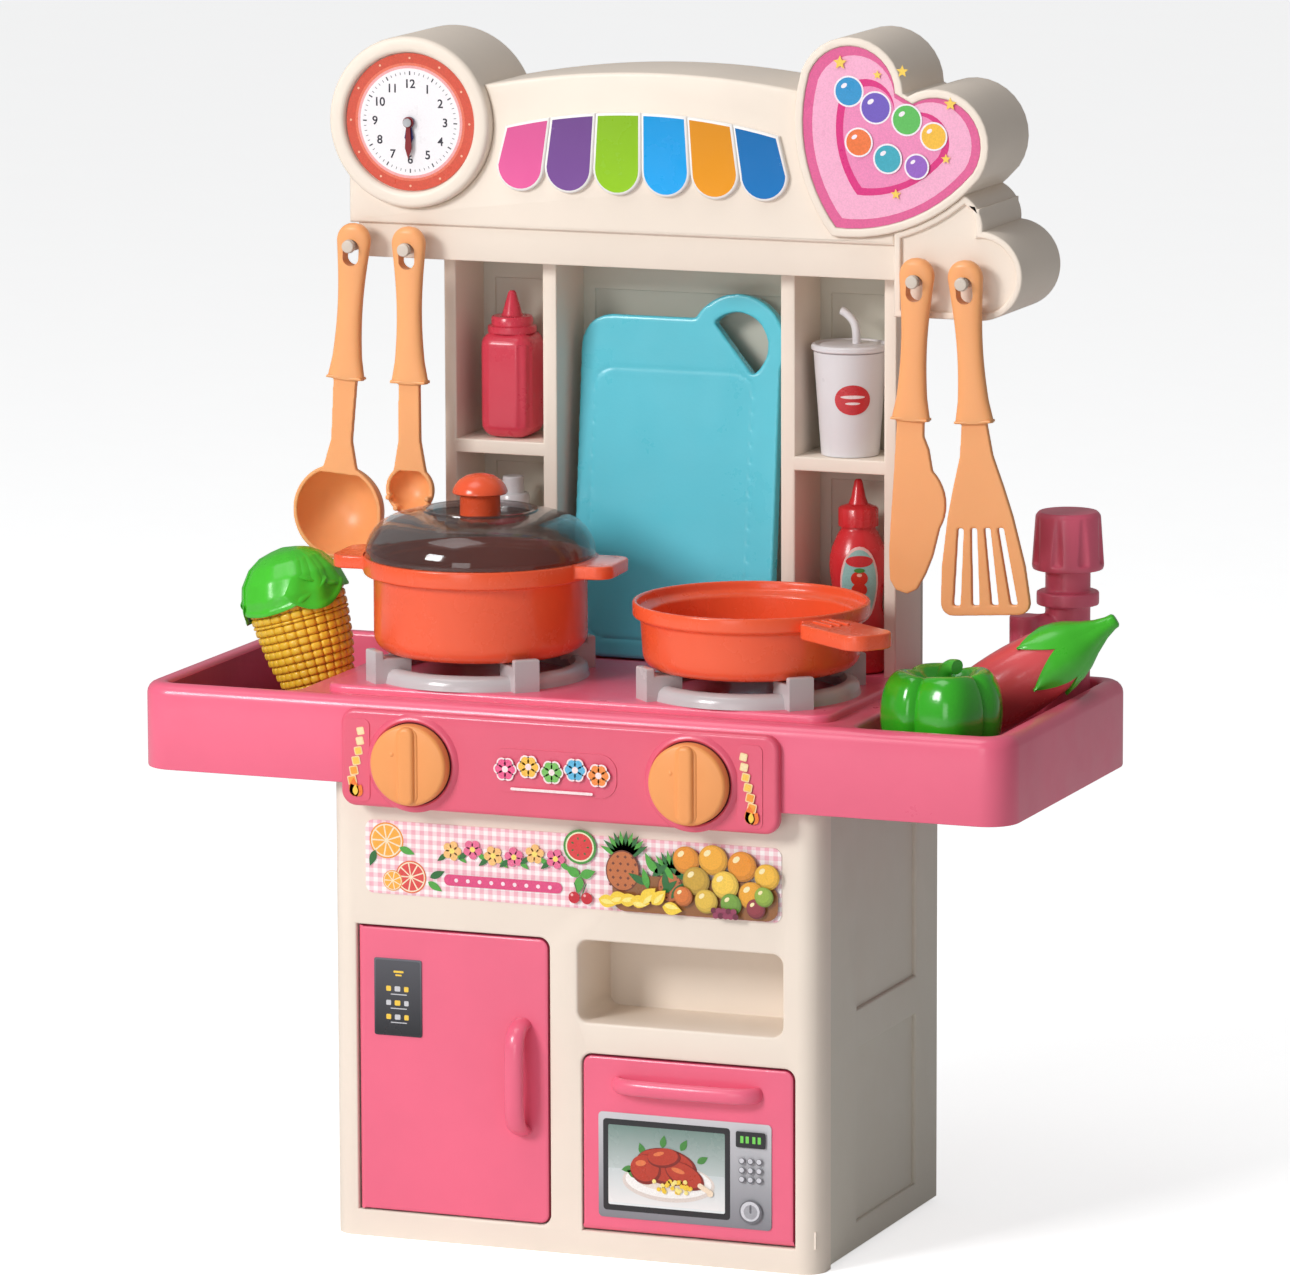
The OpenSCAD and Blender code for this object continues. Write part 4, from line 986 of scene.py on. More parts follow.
class KITCHEN_OT_prints(bpy.types.Operator):
    """Banner, heat scales, panel motif, fridge display and oven front"""

    bl_idname = "kitchen.prints"
    bl_label = "Prints"

    def execute(self, context):
        self.banner()
        self.scales()
        self.fridge_front()
        self.oven_front()
        return {"FINISHED"}

    def banner(self):
        lo, hi = (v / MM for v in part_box("banner_sticker"))
        paint("banner_sticker", gingham("banner_gingham", srgb(252, 244, 242), srgb(240, 178, 190), 2.1))
        s = Sheet("banner_print", lo.y)
        z0, z1, x0 = lo.z, hi.z, lo.x
        orange_rind, orange_flesh = (
            ink("orange_rind", srgb(240, 150, 30)), ink("orange_flesh", srgb(250, 176, 60)))
        red_rind, red_flesh = (
            ink("grapefruit_rind", srgb(232, 110, 60)), ink("grapefruit_flesh", srgb(226, 74, 70)))
        pith = ink("pith", srgb(252, 232, 200))
        leaf, dark_leaf = ink("leaf_green", srgb(80, 168, 62)), ink("leaf_dark", srgb(40, 110, 50))
        slice_print(s, x0 + 10.5, z1 - 9.2, 8.4, orange_rind, orange_flesh, pith)
        slice_print(s, x0 + 22.5, z0 + 8.6, 7.6, red_rind, red_flesh, pith)
        slice_print(s, x0 + 13.5, z0 + 6.4, 4.8, orange_rind, orange_flesh, pith, 7)
        for i, (x, z, t) in enumerate(((32, 9, 25), (31, 7, -30), (5, 20, 250), (17, 22, -20))):
            s.leaf(x0 + x, z0 + z, 8, 3.4, t, leaf if i % 2 else dark_leaf, up=1 if i == 0 else 0)
        # A garland of blossoms where a title would stand
        petal, petal2 = ink("blossom", srgb(236, 110, 150)), ink("blossom_pale", srgb(250, 196, 120))
        heart_of = ink("blossom_heart", srgb(250, 226, 110))
        s.bar(x0 + 68, z0 + 8.6, 58, 5.2, ink("ribbon", srgb(226, 74, 128)), r=2.4)
        for i in range(9):
            s.disc(x0 + 45 + 5.75 * i, z0 + 8.6, 1.9, ink("ribbon_dot", srgb(252, 226, 234)), sides=16,
                   up=0 if i else 1)
        for i in range(6):
            x, z = x0 + 43 + 10.2 * i, z0 + 22.2 + 1.4 * math.sin(i * 1.9)
            s.leaf(x + 2.5, z - 1.5, 6, 2.4, -38, leaf)
            s.leaf(x - 2.5, z - 1.5, 6, 2.4, 218, dark_leaf, up=0)
            s.layer += 1
            for k in range(5):
                a = TAU * k / 5 + i
                s.disc(x + 2.7 * math.cos(a), z + 2.7 * math.sin(a), 3.9, petal if i % 2 else petal2,
                       sides=16, up=0)
            s.disc(x, z, 2.6, heart_of, sides=16)
        # Watermelon, leaves and cherries
        x = x0 + 106
        s.disc(x, z1 - 5.5, 16, ink("melon_rind", srgb(70, 150, 60)))
        s.disc(x, z1 - 5.5, 13.8, ink("melon_white", srgb(240, 240, 200)))
        s.disc(x, z1 - 5.5, 12.4, ink("melon_red", srgb(222, 60, 62)))
        s.layer += 1
        for k in range(7):
            a = TAU * k / 7
            s.disc(x + 3.9 * math.cos(a), z1 - 5.5 + 3.9 * math.sin(a), 0.8, dark_leaf, h=1.3,
                   turn=math.degrees(a) + 90,
                   sides=10, up=0)
        for t in (20, 150, 265):
            s.leaf(x, z0 + 15, 8, 4.4, t, leaf, up=1)
        for dx in (-2.8, 3.4):
            s.bar(x + dx * 0.6, z0 + 8.6, 0.5, 7, dark_leaf, turn=-dx * 6)
            s.disc(x + dx, z0 + 5, 5.4, ink("cherry", srgb(200, 24, 44)))
            s.disc(x + dx - 1, z0 + 6.2, 1.3, ink("cherry_light", srgb(250, 180, 180)), sides=12)
        # Heap of fruit on the right
        rnd = random.Random(5)
        s.bar(x0 + 162, z0 + 9, 80, 17, ink("heap_shade", srgb(150, 96, 52)), r=6)
        husk, husk_dark = ink("pineapple_husk", srgb(196, 112, 62)), ink("pineapple_dark", srgb(116, 60, 40))
        for px, pz, size in ((127, 19, 19), (150, 13, 14)):
            for t in range(30, 160, 14):
                s.leaf(x0 + px + 1, z0 + pz + size * 0.3, 13, 3, t, dark_leaf if t % 4 else leaf,
                       up=0 if t > 30 else 1)
            s.disc(x0 + px, z0 + pz, size * 0.86, husk_dark, h=size)
            s.disc(x0 + px, z0 + pz, size * 0.8, husk, h=size * 0.94)
            s.layer += 1
            for iy in range(5):
                for ix in range(4):
                    gx = x0 + px + size * (0.19 * ix - 0.31 + (iy % 2) * 0.07)
                    s.disc(gx, z0 + pz + size * (0.17 * iy - 0.34), size * 0.085, husk_dark, sides=4, up=0)
        for i in range(16):
            s.leaf(x0 + 138 + rnd.uniform(0, 22), z0 + rnd.uniform(8, 20), 10, 3.4, rnd.uniform(20, 160),
                   dark_leaf if i % 3 else leaf, up=1 if i % 4 == 0 else 0)
        fruit = ((158, 26, 13, (236, 150, 40)), (171, 27, 14, (244, 176, 50)), (185, 25, 14, (238, 150, 36)),
                 (197, 21, 12, (246, 190, 60)), (163, 17, 13, (206, 164, 56)), (177, 16, 13, (250, 206, 76)),
                 (190, 12, 13, (240, 168, 44)), (168, 8, 11, (230, 190, 70)), (180, 7.4, 10, (120, 164, 60)),
                 (192, 6.2, 9, (150, 56, 66)), (157, 9.6, 9, (220, 120, 50)), (196, 12, 9, (150, 180, 66)))
        for i, (px, pz, w, rgb) in enumerate(fruit):
            s.disc(x0 + px, z0 + pz, w, ink("fruit_shade_%d" % i, shade(srgb(*rgb), 0.55)))
            s.disc(x0 + px - 0.4, z0 + pz + 0.4, w * 0.93, ink("fruit_mid_%d" % i, shade(srgb(*rgb), 0.82)))
            s.disc(x0 + px - 0.9, z0 + pz + 0.9, w * 0.76, ink("fruit_%d" % i, srgb(*rgb)))
            s.disc(x0 + px - w * 0.2, z0 + pz + w * 0.22, w * 0.28, ink("fruit_lit", srgb(254, 236, 180)),
                   h=w * 0.18, turn=40,
                   sides=16)
        yellow, yellow_lit = ink("wedge_yellow", srgb(246, 208, 60)), ink("wedge_pale", srgb(252, 232, 130))
        for i in range(7):
            turn = rnd.uniform(-10, 60)
            s.leaf(x0 + 116 + 5.2 * i, z0 + 4.4 + rnd.random() * 2, 9.6, 6, turn, yellow)
            s.leaf(x0 + 117 + 5.2 * i, z0 + 5 + rnd.random(), 7, 2.2, turn, yellow_lit)
        for i in range(10):
            s.disc(x0 + 172 + 2.4 * (i % 5) + (i // 5), z0 + 4.4 - 2.2 * (i // 5), 2.9,
                   ink("grape_light" if i % 3 else "grape",
                       srgb(*((150, 60, 90) if i % 3 else (110, 34, 60)))), sides=14)
        s.finish("cabinet")

    def scales(self):
        lo, hi = (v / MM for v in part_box("panel_stickers"))
        paint("panel_stickers", deep_pink())
        s = Sheet("panel_print", lo.y)
        edge = ink("scale_edge", srgb(248, 214, 160))
        flame, flame_in = ink("flame_orange", srgb(244, 120, 30)), ink("flame_yellow", srgb(252, 206, 70))
        for x in (lo.x + 6, hi.x - 6):
            sgn = 1 if x < 0 else -1
            for i in range(6):
                z = 239 - 4.6 * i
                dx = sgn * 2.2 * math.cos(math.radians(i * 30))
                w = 2.6 + 0.16 * i
                tone = (ink("scale_pale", srgb(250, 226, 176)), ink("scale_yellow", srgb(250, 200, 80)),
                        ink("scale_amber", srgb(248, 160, 50)))[i // 2]
                s.bar(x + dx - 0.6, z, w + 1, w + 1, edge, r=0.7, turn=12 * sgn, up=1)
                s.bar(x + dx - 0.6, z, w, w, tone, r=0.5, turn=12 * sgn, up=1)
            for k, (t, l) in enumerate(((90, 8.6), (62, 6.4), (118, 6.6))):
                s.leaf(x - sgn * 1 + 0.8 * (k - 1), 208.6, l, 4.8, t, flame, up=1 if k == 0 else 0)
            s.leaf(x - sgn * 1, 209.2, 5, 2.6, 90, flame_in)
        rim = ink("motif_rim", srgb(250, 226, 226))
        for i, rgb in enumerate(((240, 90, 140), (248, 190, 70), (120, 190, 90), (90, 180, 220),
                                 (246, 140, 60))):
            x = -4 + 11.4 * (i - 2)
            z = 226.5 + (1.4 if i % 2 else -0.4)
            s.layer += 1
            for k in range(6):
                a = TAU * k / 6
                s.disc(x + 3.1 * math.cos(a), z + 3.1 * math.sin(a), 5.2, rim, sides=16, up=0)
            s.layer += 1
            for k in range(6):
                a = TAU * k / 6
                s.disc(x + 3.0 * math.cos(a), z + 3.0 * math.sin(a), 3.9, ink("motif_%d" % i, srgb(*rgb)),
                       sides=16, up=0)
            s.disc(x, z, 3.0, rim, sides=16)
        s.bar(-4, 217.4, 40, 1.3, rim, r=0.6)
        s.finish("cabinet")

    def fridge_front(self):
        lo, hi = (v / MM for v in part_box("fridge_display"))
        paint("fridge_display", fade("display_dark", srgb(40, 40, 46), srgb(104, 104, 112), "Z", lo.z, hi.z))
        s = Sheet("fridge_display_print", lo.y)
        cx = (lo.x + hi.x) / 2
        s.bar(cx, (lo.z + hi.z) / 2, 22, 34.4,
              fade("display_glass", srgb(30, 31, 36), srgb(82, 82, 88), "Z", lo.z, hi.z),
              r=1)
        lit = ink("display_amber", srgb(250, 206, 70))
        pale = ink("display_pale", srgb(206, 206, 210))
        s.layer += 1
        s.bar(cx + 0.4, hi.z - 6, 5, 1, lit, r=0.4, up=0)
        s.bar(cx + 0.4, hi.z - 7.6, 3.2, 0.8, lit, r=0.3, up=0)
        for row in range(3):
            z = hi.z - 14 - 6.6 * row
            for k, w in enumerate((2.4, 2.8, 2.2)):
                s.bar(cx - 4.6 + 4.4 * k, z, w, 2.4, pale if (row + k) % 2 else lit, r=0.5, up=0)
            s.bar(cx + 0.4, z - 2.6, 8, 0.45, pale, up=0)
        s.finish("fridge_door")

    def oven_front(self):
        lo, hi = (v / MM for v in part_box("oven_sticker"))
        w, h = hi.x - lo.x, hi.z - lo.z
        paint("oven_sticker", fade("oven_silver", srgb(132, 132, 138), srgb(206, 206, 210), "Z", lo.z, hi.z,
                                   0.22))
        s = Sheet("oven_front_print", lo.y)
        black = ink("oven_black", srgb(34, 34, 38))
        wx, wz, ww, wh = lo.x + 0.395 * w, (lo.z + hi.z) / 2 + 0.2, 0.735 * w, 0.87 * h
        s.bar(wx, wz, ww, wh, black, r=1.6)
        s.bar(wx, wz, ww - 5, wh - 5.4, fade("oven_glass", srgb(232, 236, 236), srgb(120, 146, 138), "Z",
                lo.z + 6, hi.z - 6),
              r=0.8)
        s.bar(wx, wz - 9.5, ww - 5, 16, fade("oven_cloth", srgb(244, 240, 238), srgb(206, 214, 214), "Z",
                lo.z + 4, lo.z + 22), r=0.8)
        s.disc(wx + 1, wz - 6.4, 45, ink("plate_rim", srgb(226, 214, 206)), h=18)
        s.disc(wx + 1, wz - 5.8, 42, ink("plate_white", srgb(252, 248, 244)), h=15.4)
        s.disc(wx + 1, wz - 5.4, 32, ink("plate_well", srgb(240, 226, 214)), h=10)
        leaf = ink("garnish", srgb(70, 140, 60))
        for x, z, t in ((-14, -5, 150), (-11, 5.5, 110), (-2, 9.6, 80), (7, 9, 60), (15, 4, 30),
                        (-16, -1, 190), (13, -6, -20)):
            s.leaf(wx + x, wz + z, 6, 3.2, t, leaf, up=0 if x != -14 else 1)
        roast, roast_dark, roast_lit = (ink("roast", srgb(190, 58, 36)), ink("roast_dark", srgb(132, 34, 24)),
                                        ink("roast_lit", srgb(232, 124, 72)))
        for x, z, a, b, t in ((0, 1, 30, 17, -6), (-10, -1, 15, 14, 0), (9, -2.5, 20, 11, -24),
                              (-1, 5, 16, 9, 8)):
            s.disc(wx + x, wz + z, a, roast_dark, h=b, turn=t)
            s.disc(wx + x - 0.5, wz + z + 0.6, a * 0.92, roast, h=b * 0.88, turn=t)
            s.disc(wx + x - a * 0.16, wz + z + b * 0.2, a * 0.34, roast_lit, h=b * 0.2, turn=t + 8, sides=16)
        s.bar(wx + 18.5, wz - 7.6, 7, 2.4, ink("bone", srgb(246, 224, 196)), r=1.2, turn=-30)
        s.disc(wx + 21.4, wz - 9.6, 3.2, ink("bone", srgb(246, 224, 196)), sides=16)
        rnd = random.Random(3)
        corn = ink("corn_bits", srgb(248, 206, 60))
        corn_lit = ink("corn_bits_pale", srgb(252, 232, 140))
        for i in range(34):
            s.disc(wx + 3 + rnd.uniform(-9, 9), wz - 8 + rnd.uniform(-2.8, 2.8), 2.1,
                   corn if i % 3 else corn_lit, sides=8,
                   up=1 if i % 6 == 0 else 0)
        px = lo.x + 0.885 * w
        s.bar(px, hi.z - 7.4, 0.17 * w, 7.4, black, r=0.8)
        digit = ink("digit_green", srgb(120, 220, 90))
        for k in range(4):
            s.bar(px - 4.2 + 2.6 * k + (0.6 if k > 1 else 0), hi.z - 7.4, 1.5, 3.2, digit, r=0.2,
                  up=0 if k else 1)
        rim_dark, key = ink("key_rim", srgb(110, 110, 116)), ink("key_face", srgb(214, 214, 220))
        for row in range(3):
            for k in range(3):
                x, z = px - 4.2 + 4.2 * k, hi.z - 17.4 - 4.3 * row
                s.disc(x, z, 3.2, rim_dark, sides=20, up=1 if row == k == 0 else 0)
        s.layer += 1
        for row in range(3):
            for k in range(3):
                s.disc(px - 4.4 + 4.2 * k, hi.z - 17.2 - 4.3 * row, 2.3, key, sides=20, up=0)
        s.disc(px, lo.z + 8.2, 11, rim_dark)
        s.disc(px - 0.2, lo.z + 8.5, 9.2, key)
        s.disc(px, lo.z + 8.2, 6.6, ink("key_shade", srgb(168, 168, 174)))
        s.bar(px, lo.z + 9.6, 1, 4, rim_dark, r=0.4)
        s.finish("oven_door")


class KITCHEN_OT_cookware(bpy.types.Operator):
    """Pot, its lid and knob, and the pan"""

    bl_idname = "kitchen.cookware"
    bl_label = "Pot and pan"

    def execute(self, context):
        for node in ("pot", "pan"):
            part = copy_of(node, node + "_shell")
            round_edges(part, 0.9 * MM, lambda x, y, z: z > 288, 4, 40)
            parts = [part]
            if node == "pan":
                lo, hi = (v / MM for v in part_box("pan"))
                turn = Matrix.Rotation(math.radians(-36), 4, "Z")
                for k in (-1, 0, 1):
                    rib = slab("rib", round_rect(0, 0, 15, 2.2, 1, 5), 0, -0.9, 0.6, 3)
                    lay = Matrix.Rotation(math.radians(-90), 4, "X")
                    parts.append(place(rib, at(68, -21, hi.z - 2.0) @ turn @ at(65, k * 4.4, 0) @ lay))
            piece(join(node + "_shell", parts), node, orange(), [node], 40)
        lid = copy_of("pot_lid", "clear_lid")
        piece(lid, "pot_lid", smoky("smoky_lid", srgb(74, 58, 54)), ["pot_lid"], 40)
        lo, hi = (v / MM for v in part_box("pot_lid_knob"))
        cx, cy = (lo.x + hi.x) / 2, (lo.y + hi.y) / 2
        knob = lathe("lid_mushroom", [(0, 0.1), (9.4, 0.1), (9.3, 9.4), (9.6, 9.9), (12.2, 10.0),
                (12.7, 10.5), (12.6, 11.6),
                                      (11.6, 13.8), (9.6, 16.2), (6.4, 18.2), (3, 19), (0, 19.2)], 64)
        place(knob, at(cx, cy, lo.z))
        piece(knob, "pot_lid", orange(), ["pot_lid_knob"], 50)
        return {"FINISHED"}


class KITCHEN_OT_faucet(bpy.types.Operator):
    """Faucet stem with spout and its fluted pump head"""

    bl_idname = "kitchen.faucet"
    bl_label = "Faucet"

    def execute(self, context):
        tap = plastic("tap_pink", tuple(colours().tap), rough=0.36, coat=0.15)
        stem = copy_of("faucet_base", "faucet_stem")
        soften(stem, 0.7, 5, 0.4)
        piece(stem, "cabinet", tap, ["faucet_base"], 50)
        head = copy_of("faucet_cap", "pump_head")
        soften(head, 0.55, 7, 0.4)
        piece(head, "faucet_cap", tap, ["faucet_cap"], 60)
        return {"FINISHED"}


class KITCHEN_OT_tools(bpy.types.Operator):
    """Ladle, pasta server, knife and spatula"""

    bl_idname = "kitchen.tools"
    bl_label = "Hanging tools"

    def execute(self, context):
        tools = (("ladle", -147, 446.5, -4.1, 63), ("pasta_server", -119.2, 446, 0, 63),
                 ("knife", 130.5, 442, -2.4, 64), ("spatula", 154, 442, 4, 64))
        for node, x, z, swing, length in tools:
            hang = at(x, 26, z) @ Matrix.Rotation(math.radians(-swing), 4, "Y")
            head = copy_of(node, node + "_head")
            edit_all(head)
            bpy.ops.mesh.bisect(plane_co=hang @ Vector((0, 0, (1.5 - length) * MM)),
                                plane_no=hang.to_3x3() @ Vector((0, 0, 1)), use_fill=True, clear_outer=True)
            done()
            soften(head, 0.5, 9, 0.35)
            grip = self.grip(length)
            place(grip, hang)
            tool = join(node + "_body", [grip, head])
            piece(tool, node, peach(), [node], 50)
        return {"FINISHED"}

    def grip(self, length):
        """An oval handle with a flare at its lower end and a long hole for the peg."""
        clear()
        bpy.ops.mesh.primitive_uv_sphere_add(segments=48, ring_count=72, radius=1)
        obj = bpy.context.active_object
        top = 10.5
        for v in obj.data.vertices:
            a = math.atan2(v.co.y, v.co.x)
            t = math.acos(max(-1, min(1, v.co.z))) / math.pi
            if t > 0.93:
                z, w = -length, 9.0 * (1 - t) / 0.07
            else:
                z = top - (top + length) * (t / 0.93) ** 1.15
                u = (top - z) / (top + length)
                if z > 2.2:
                    w = math.sqrt(max(0, 8.3 ** 2 - (z - 2.2) ** 2))
                else:
                    k = (u - 0.12) / 0.88
                    w = 8.3 - 2.3 * math.sin(math.pi * max(0, k)) + 0.9 * max(0, u - 0.86) / 0.14
                if u > 0.985:
                    w -= 0.5
            d = 3.6 * min(1, (w / 6.0) ** 0.7) if w > 0 else 0
            c, s = math.cos(a), math.sin(a)
            v.co = Vector((w * math.copysign(abs(c) ** 0.85, c) * MM,
                           d * math.copysign(abs(s) ** 0.75, s) * MM, z * MM))
        cutter = slab("cutter", [(4 * math.cos(math.radians(t)),
                                  (-1.1 if math.sin(math.radians(t)) > 0 else -5.5)
                                  + 4 * math.sin(math.radians(t))) for t in range(0, 360, 12)], 8, -8, 0)
        apply(obj, "BOOLEAN", object=cutter, operation="DIFFERENCE", solver="EXACT")
        bpy.data.objects.remove(cutter)
        return obj


class KITCHEN_OT_shelf_goods(bpy.types.Operator):
    """Cutting board, bottles and cup"""

    bl_idname = "kitchen.shelf_goods"
    bl_label = "Board, bottles and cup"

    def execute(self, context):
        board = copy_of("cutting_board", "board")
        soften(board, 0.8, 5, 0.4)
        piece(board, "cutting_board",
              plastic("cyan_board", tuple(colours().cyan), rough=0.3, coat=0.2),
              ["cutting_board"], 60)
        self.red_bottle()
        self.white_bottle()
        self.cup()
        self.ketchup()
        return {"FINISHED"}

    def middle(self, node):
        """Centre of a node's box seen from above and the height of its foot, in mm."""
        lo, hi = (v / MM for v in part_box(node))
        return (lo.x + hi.x) / 2, (lo.y + hi.y) / 2, lo.z

    def red_bottle(self):
        cx, cy, z0 = self.middle("red_bottle")
        clear()
        bpy.ops.mesh.primitive_cube_add(size=1)
        body = bpy.context.active_object
        body.data.transform(Matrix.Diagonal((26 * MM, 26 * MM, 50 * MM, 1)))
        round_edges(body, 7.4 * MM, lambda x, y, z: True, 6)
        # Vertical ridges: pull every other strip of the wall inwards
        edit_all(body)
        bpy.ops.mesh.subdivide(number_cuts=2)
        done()
        for v in body.data.vertices:
            x, y, z = v.co / MM
            if abs(z) < 19:
                a = math.atan2(y, x)
                k = 1 - 0.03 * (0.5 + 0.5 * math.cos(20 * a))
                v.co.x, v.co.y = v.co.x * k, v.co.y * k
        place(body, at(0, 0, 25))
        neck = lathe("neck", [(0, 49), (11.4, 49), (11.6, 50), (11.4, 52), (9.8, 52.6), (9.8, 55.6),
                              (9.2, 56.6), (5.2, 56.8),
                              (4.6, 58), (1.9, 67.4), (1.2, 68.4), (0, 68.5)], 48)
        bottle = join("squeeze_bottle", [body, neck])
        place(bottle, at(cx, cy, z0))
        piece(bottle, "red_bottle",
              plastic("bottle_red", srgb(214, 62, 82), rough=0.3, coat=0.2),
              ["red_bottle"], 40)

    def white_bottle(self):
        cx, cy, z0 = self.middle("white_bottle")
        body = lathe("clear_bottle", [(0, 0), (11.8, 0), (13, 1.6), (13, 22), (9.6, 32), (11.9, 45),
                (11.6, 57), (7.2, 63.6),
                                      (7.2, 66)], 48, 1)
        cap = lathe("cap", [(7.4, 65.8), (7.6, 66.4), (7.6, 73.2), (7, 74), (5.2, 74.2), (5, 81.4),
                            (4.4, 82), (0, 82)], 48)
        bottle = join("small_bottle", [body, cap])
        place(bottle, at(cx, cy, z0))
        piece(bottle, "white_bottle",
              plastic("bottle_white", srgb(214, 210, 212), rough=0.25, coat=0.3),
              ["white_bottle"], 40)

    def cup(self):
        cx, cy, z0 = self.middle("drink_cup")
        cup = copy_of("drink_cup", "cup_shell")
        white = plastic("cup_white", srgb(226, 222, 224), rough=0.34)
        piece(cup, "drink_cup", white, ["drink_cup"], 40)
        parts = []
        for w, h, lift, rgb in ((17, 14, 0.2, (206, 40, 48)), (11.5, 1.6, 0.28, (244, 222, 222)),
                                (7, 1.2, 0.3, (244, 222, 222))):
            mid = 27 if w > 12 else 28.4 if w > 8 else 25.4
            obj = self.patch(w, h, mid, lambda z: 13.4 + 3.6 * z / 48 + lift, 24)
            obj.data.materials.append(ink("cup_%d_%d_%d" % rgb, srgb(*rgb)))
            parts.append(obj)
        badge = join("cup_badge", parts)
        apply(badge, "SOLIDIFY", thickness=0.06 * MM, offset=1)
        place(badge, at(cx, cy, z0))
        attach(badge, "drink_cup")
        lid = lathe("lid", [(0, 0), (17.2, 0), (18, 0.7), (18.1, 2.2), (17.4, 3.1), (16.3, 3.2), (15.8, 2.4),
                            (14.4, 2.1),
                            (13.6, 2.8), (12, 3.1), (0, 3.2)], 64)
        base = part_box("cup_lid")[0].z / MM
        place(lid, at(cx, cy, base))
        straw = rod("straw", [(cx + 3, cy, base + 2), (cx + 3, cy, base + 5), (cx + 3, cy, base + 9),
                              (cx + 2, cy, base + 13),
                              (cx - 0.8, cy, base + 16), (cx - 3.2, cy, base + 17.6),
                              (cx - 4.4, cy, base + 18)], 1.9)
        lid = join("lid_and_straw", [lid, straw])
        piece(lid, "cup_lid", white, ["cup_lid"], 40)

    def patch(self, w, h, mid, radius, turn, n=28, m=16):
        """An oval film wrapped round a bottle or cup, centred at height mid and turned from the front."""
        verts, faces = [], []
        for j in range(m + 1):
            v = math.sin(math.pi * (j / m - 0.5))
            for i in range(n + 1):
                u = (2 * i / n - 1) * math.sqrt(max(0, 1 - v * v))
                z = mid + v * h / 2
                r = radius(z)
                a = math.radians(turn) + u * w / 2 / r
                verts.append((r * math.sin(a) * MM, -r * math.cos(a) * MM, z * MM))
        for j in range(m):
            for i in range(n):
                k = j * (n + 1) + i
                faces.append((k, k + 1, k + n + 2, k + n + 1))
        obj = new_mesh("film", verts, (), faces)
        edit_all(obj)
        bpy.ops.mesh.remove_doubles(threshold=1e-6)
        bpy.ops.mesh.normals_make_consistent(inside=False)
        done()
        return obj

    def ketchup(self):
        cx, cy, z0 = self.middle("ketchup_bottle")
        body = lathe("ketchup_body", [(0, 0), (12.4, 0), (13.6, 1.6), (13.6, 15), (12.4, 24), (10.9, 32),
                (12.2, 40),
                                      (13.6, 48), (13, 56), (9.4, 64.4), (8, 66.2), (8, 68)], 64, 1)
        cap = lathe("ketchup_cap", [(8, 67.6), (9.2, 67.8), (9.4, 68.6), (9.4, 75.8), (8.6, 76.6), (4.6, 78),
                                    (3.4, 81),
                                    (1.9, 88.4), (1.2, 89.4), (0, 89.5)], 64)
        for v in cap.data.vertices:
            x, y, z = v.co / MM
            if 68.2 < z < 76.2:
                k = 1 - 0.035 * (0.5 + 0.5 * math.cos(16 * math.atan2(y, x)))
                v.co.x, v.co.y = v.co.x * k, v.co.y * k
        bottle = join("ketchup_shell", [body, cap])
        place(bottle, at(cx, cy, z0))
        piece(bottle, "ketchup_bottle",
              plastic("ketchup_red", srgb(206, 44, 50), rough=0.28, coat=0.25),
              ["ketchup_bottle"], 40)
        def skin(z):
            return 13.6 - 2.7 * math.exp(-((z - 32) / 9.5) ** 2)

        parts = []
        for w, h, mid, lift, name, rgb in (
                (19, 36, 42, 0.35, "label_gold", (240, 196, 190)),
                (17, 33, 42, 0.45, "label_teal", (150, 196, 190)),
                (13, 5.4, 53, 0.55, "label_red", (204, 40, 46)),
                (8, 7, 45, 0.55, "label_tomato", (214, 52, 36)),
                (7.4, 6.6, 39.5, 0.6, "label_tomato", (214, 52, 36)),
                (5.6, 5, 34, 0.65, "label_tomato_dark", (170, 34, 26)),
                (5, 2.2, 48.8, 0.65, "label_leaf", (70, 140, 60)),
                (2.4, 1.6, 46.6, 0.7, "label_shine", (250, 190, 170)),
                (9, 4.4, 28.6, 0.65, "label_yellow", (246, 206, 90))):
            obj = self.patch(w, h, mid, lambda z: skin(z) + lift, 22, 20, 14)
            obj.data.materials.append(ink(name, srgb(*rgb)))
            parts.append(obj)
        label = join("ketchup_label", parts)
        apply(label, "SOLIDIFY", thickness=0.05 * MM, offset=-1)
        place(label, at(cx, cy, z0))
        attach(label, "ketchup_bottle")


def along(foot, lean, turn=0.0):
    """The frame of a piece that lies along a leaning axis."""
    return at(*foot) @ Matrix.Rotation(math.radians(turn), 4,
            "Z") @ Matrix.Rotation(math.radians(lean), 4, "Y")


def interp(table, t):
    for (a, ra), (b, rb) in zip(table, table[1:]):
        if t <= b:
            return ra + (rb - ra) * (t - a) / (b - a)
    return table[-1][1]


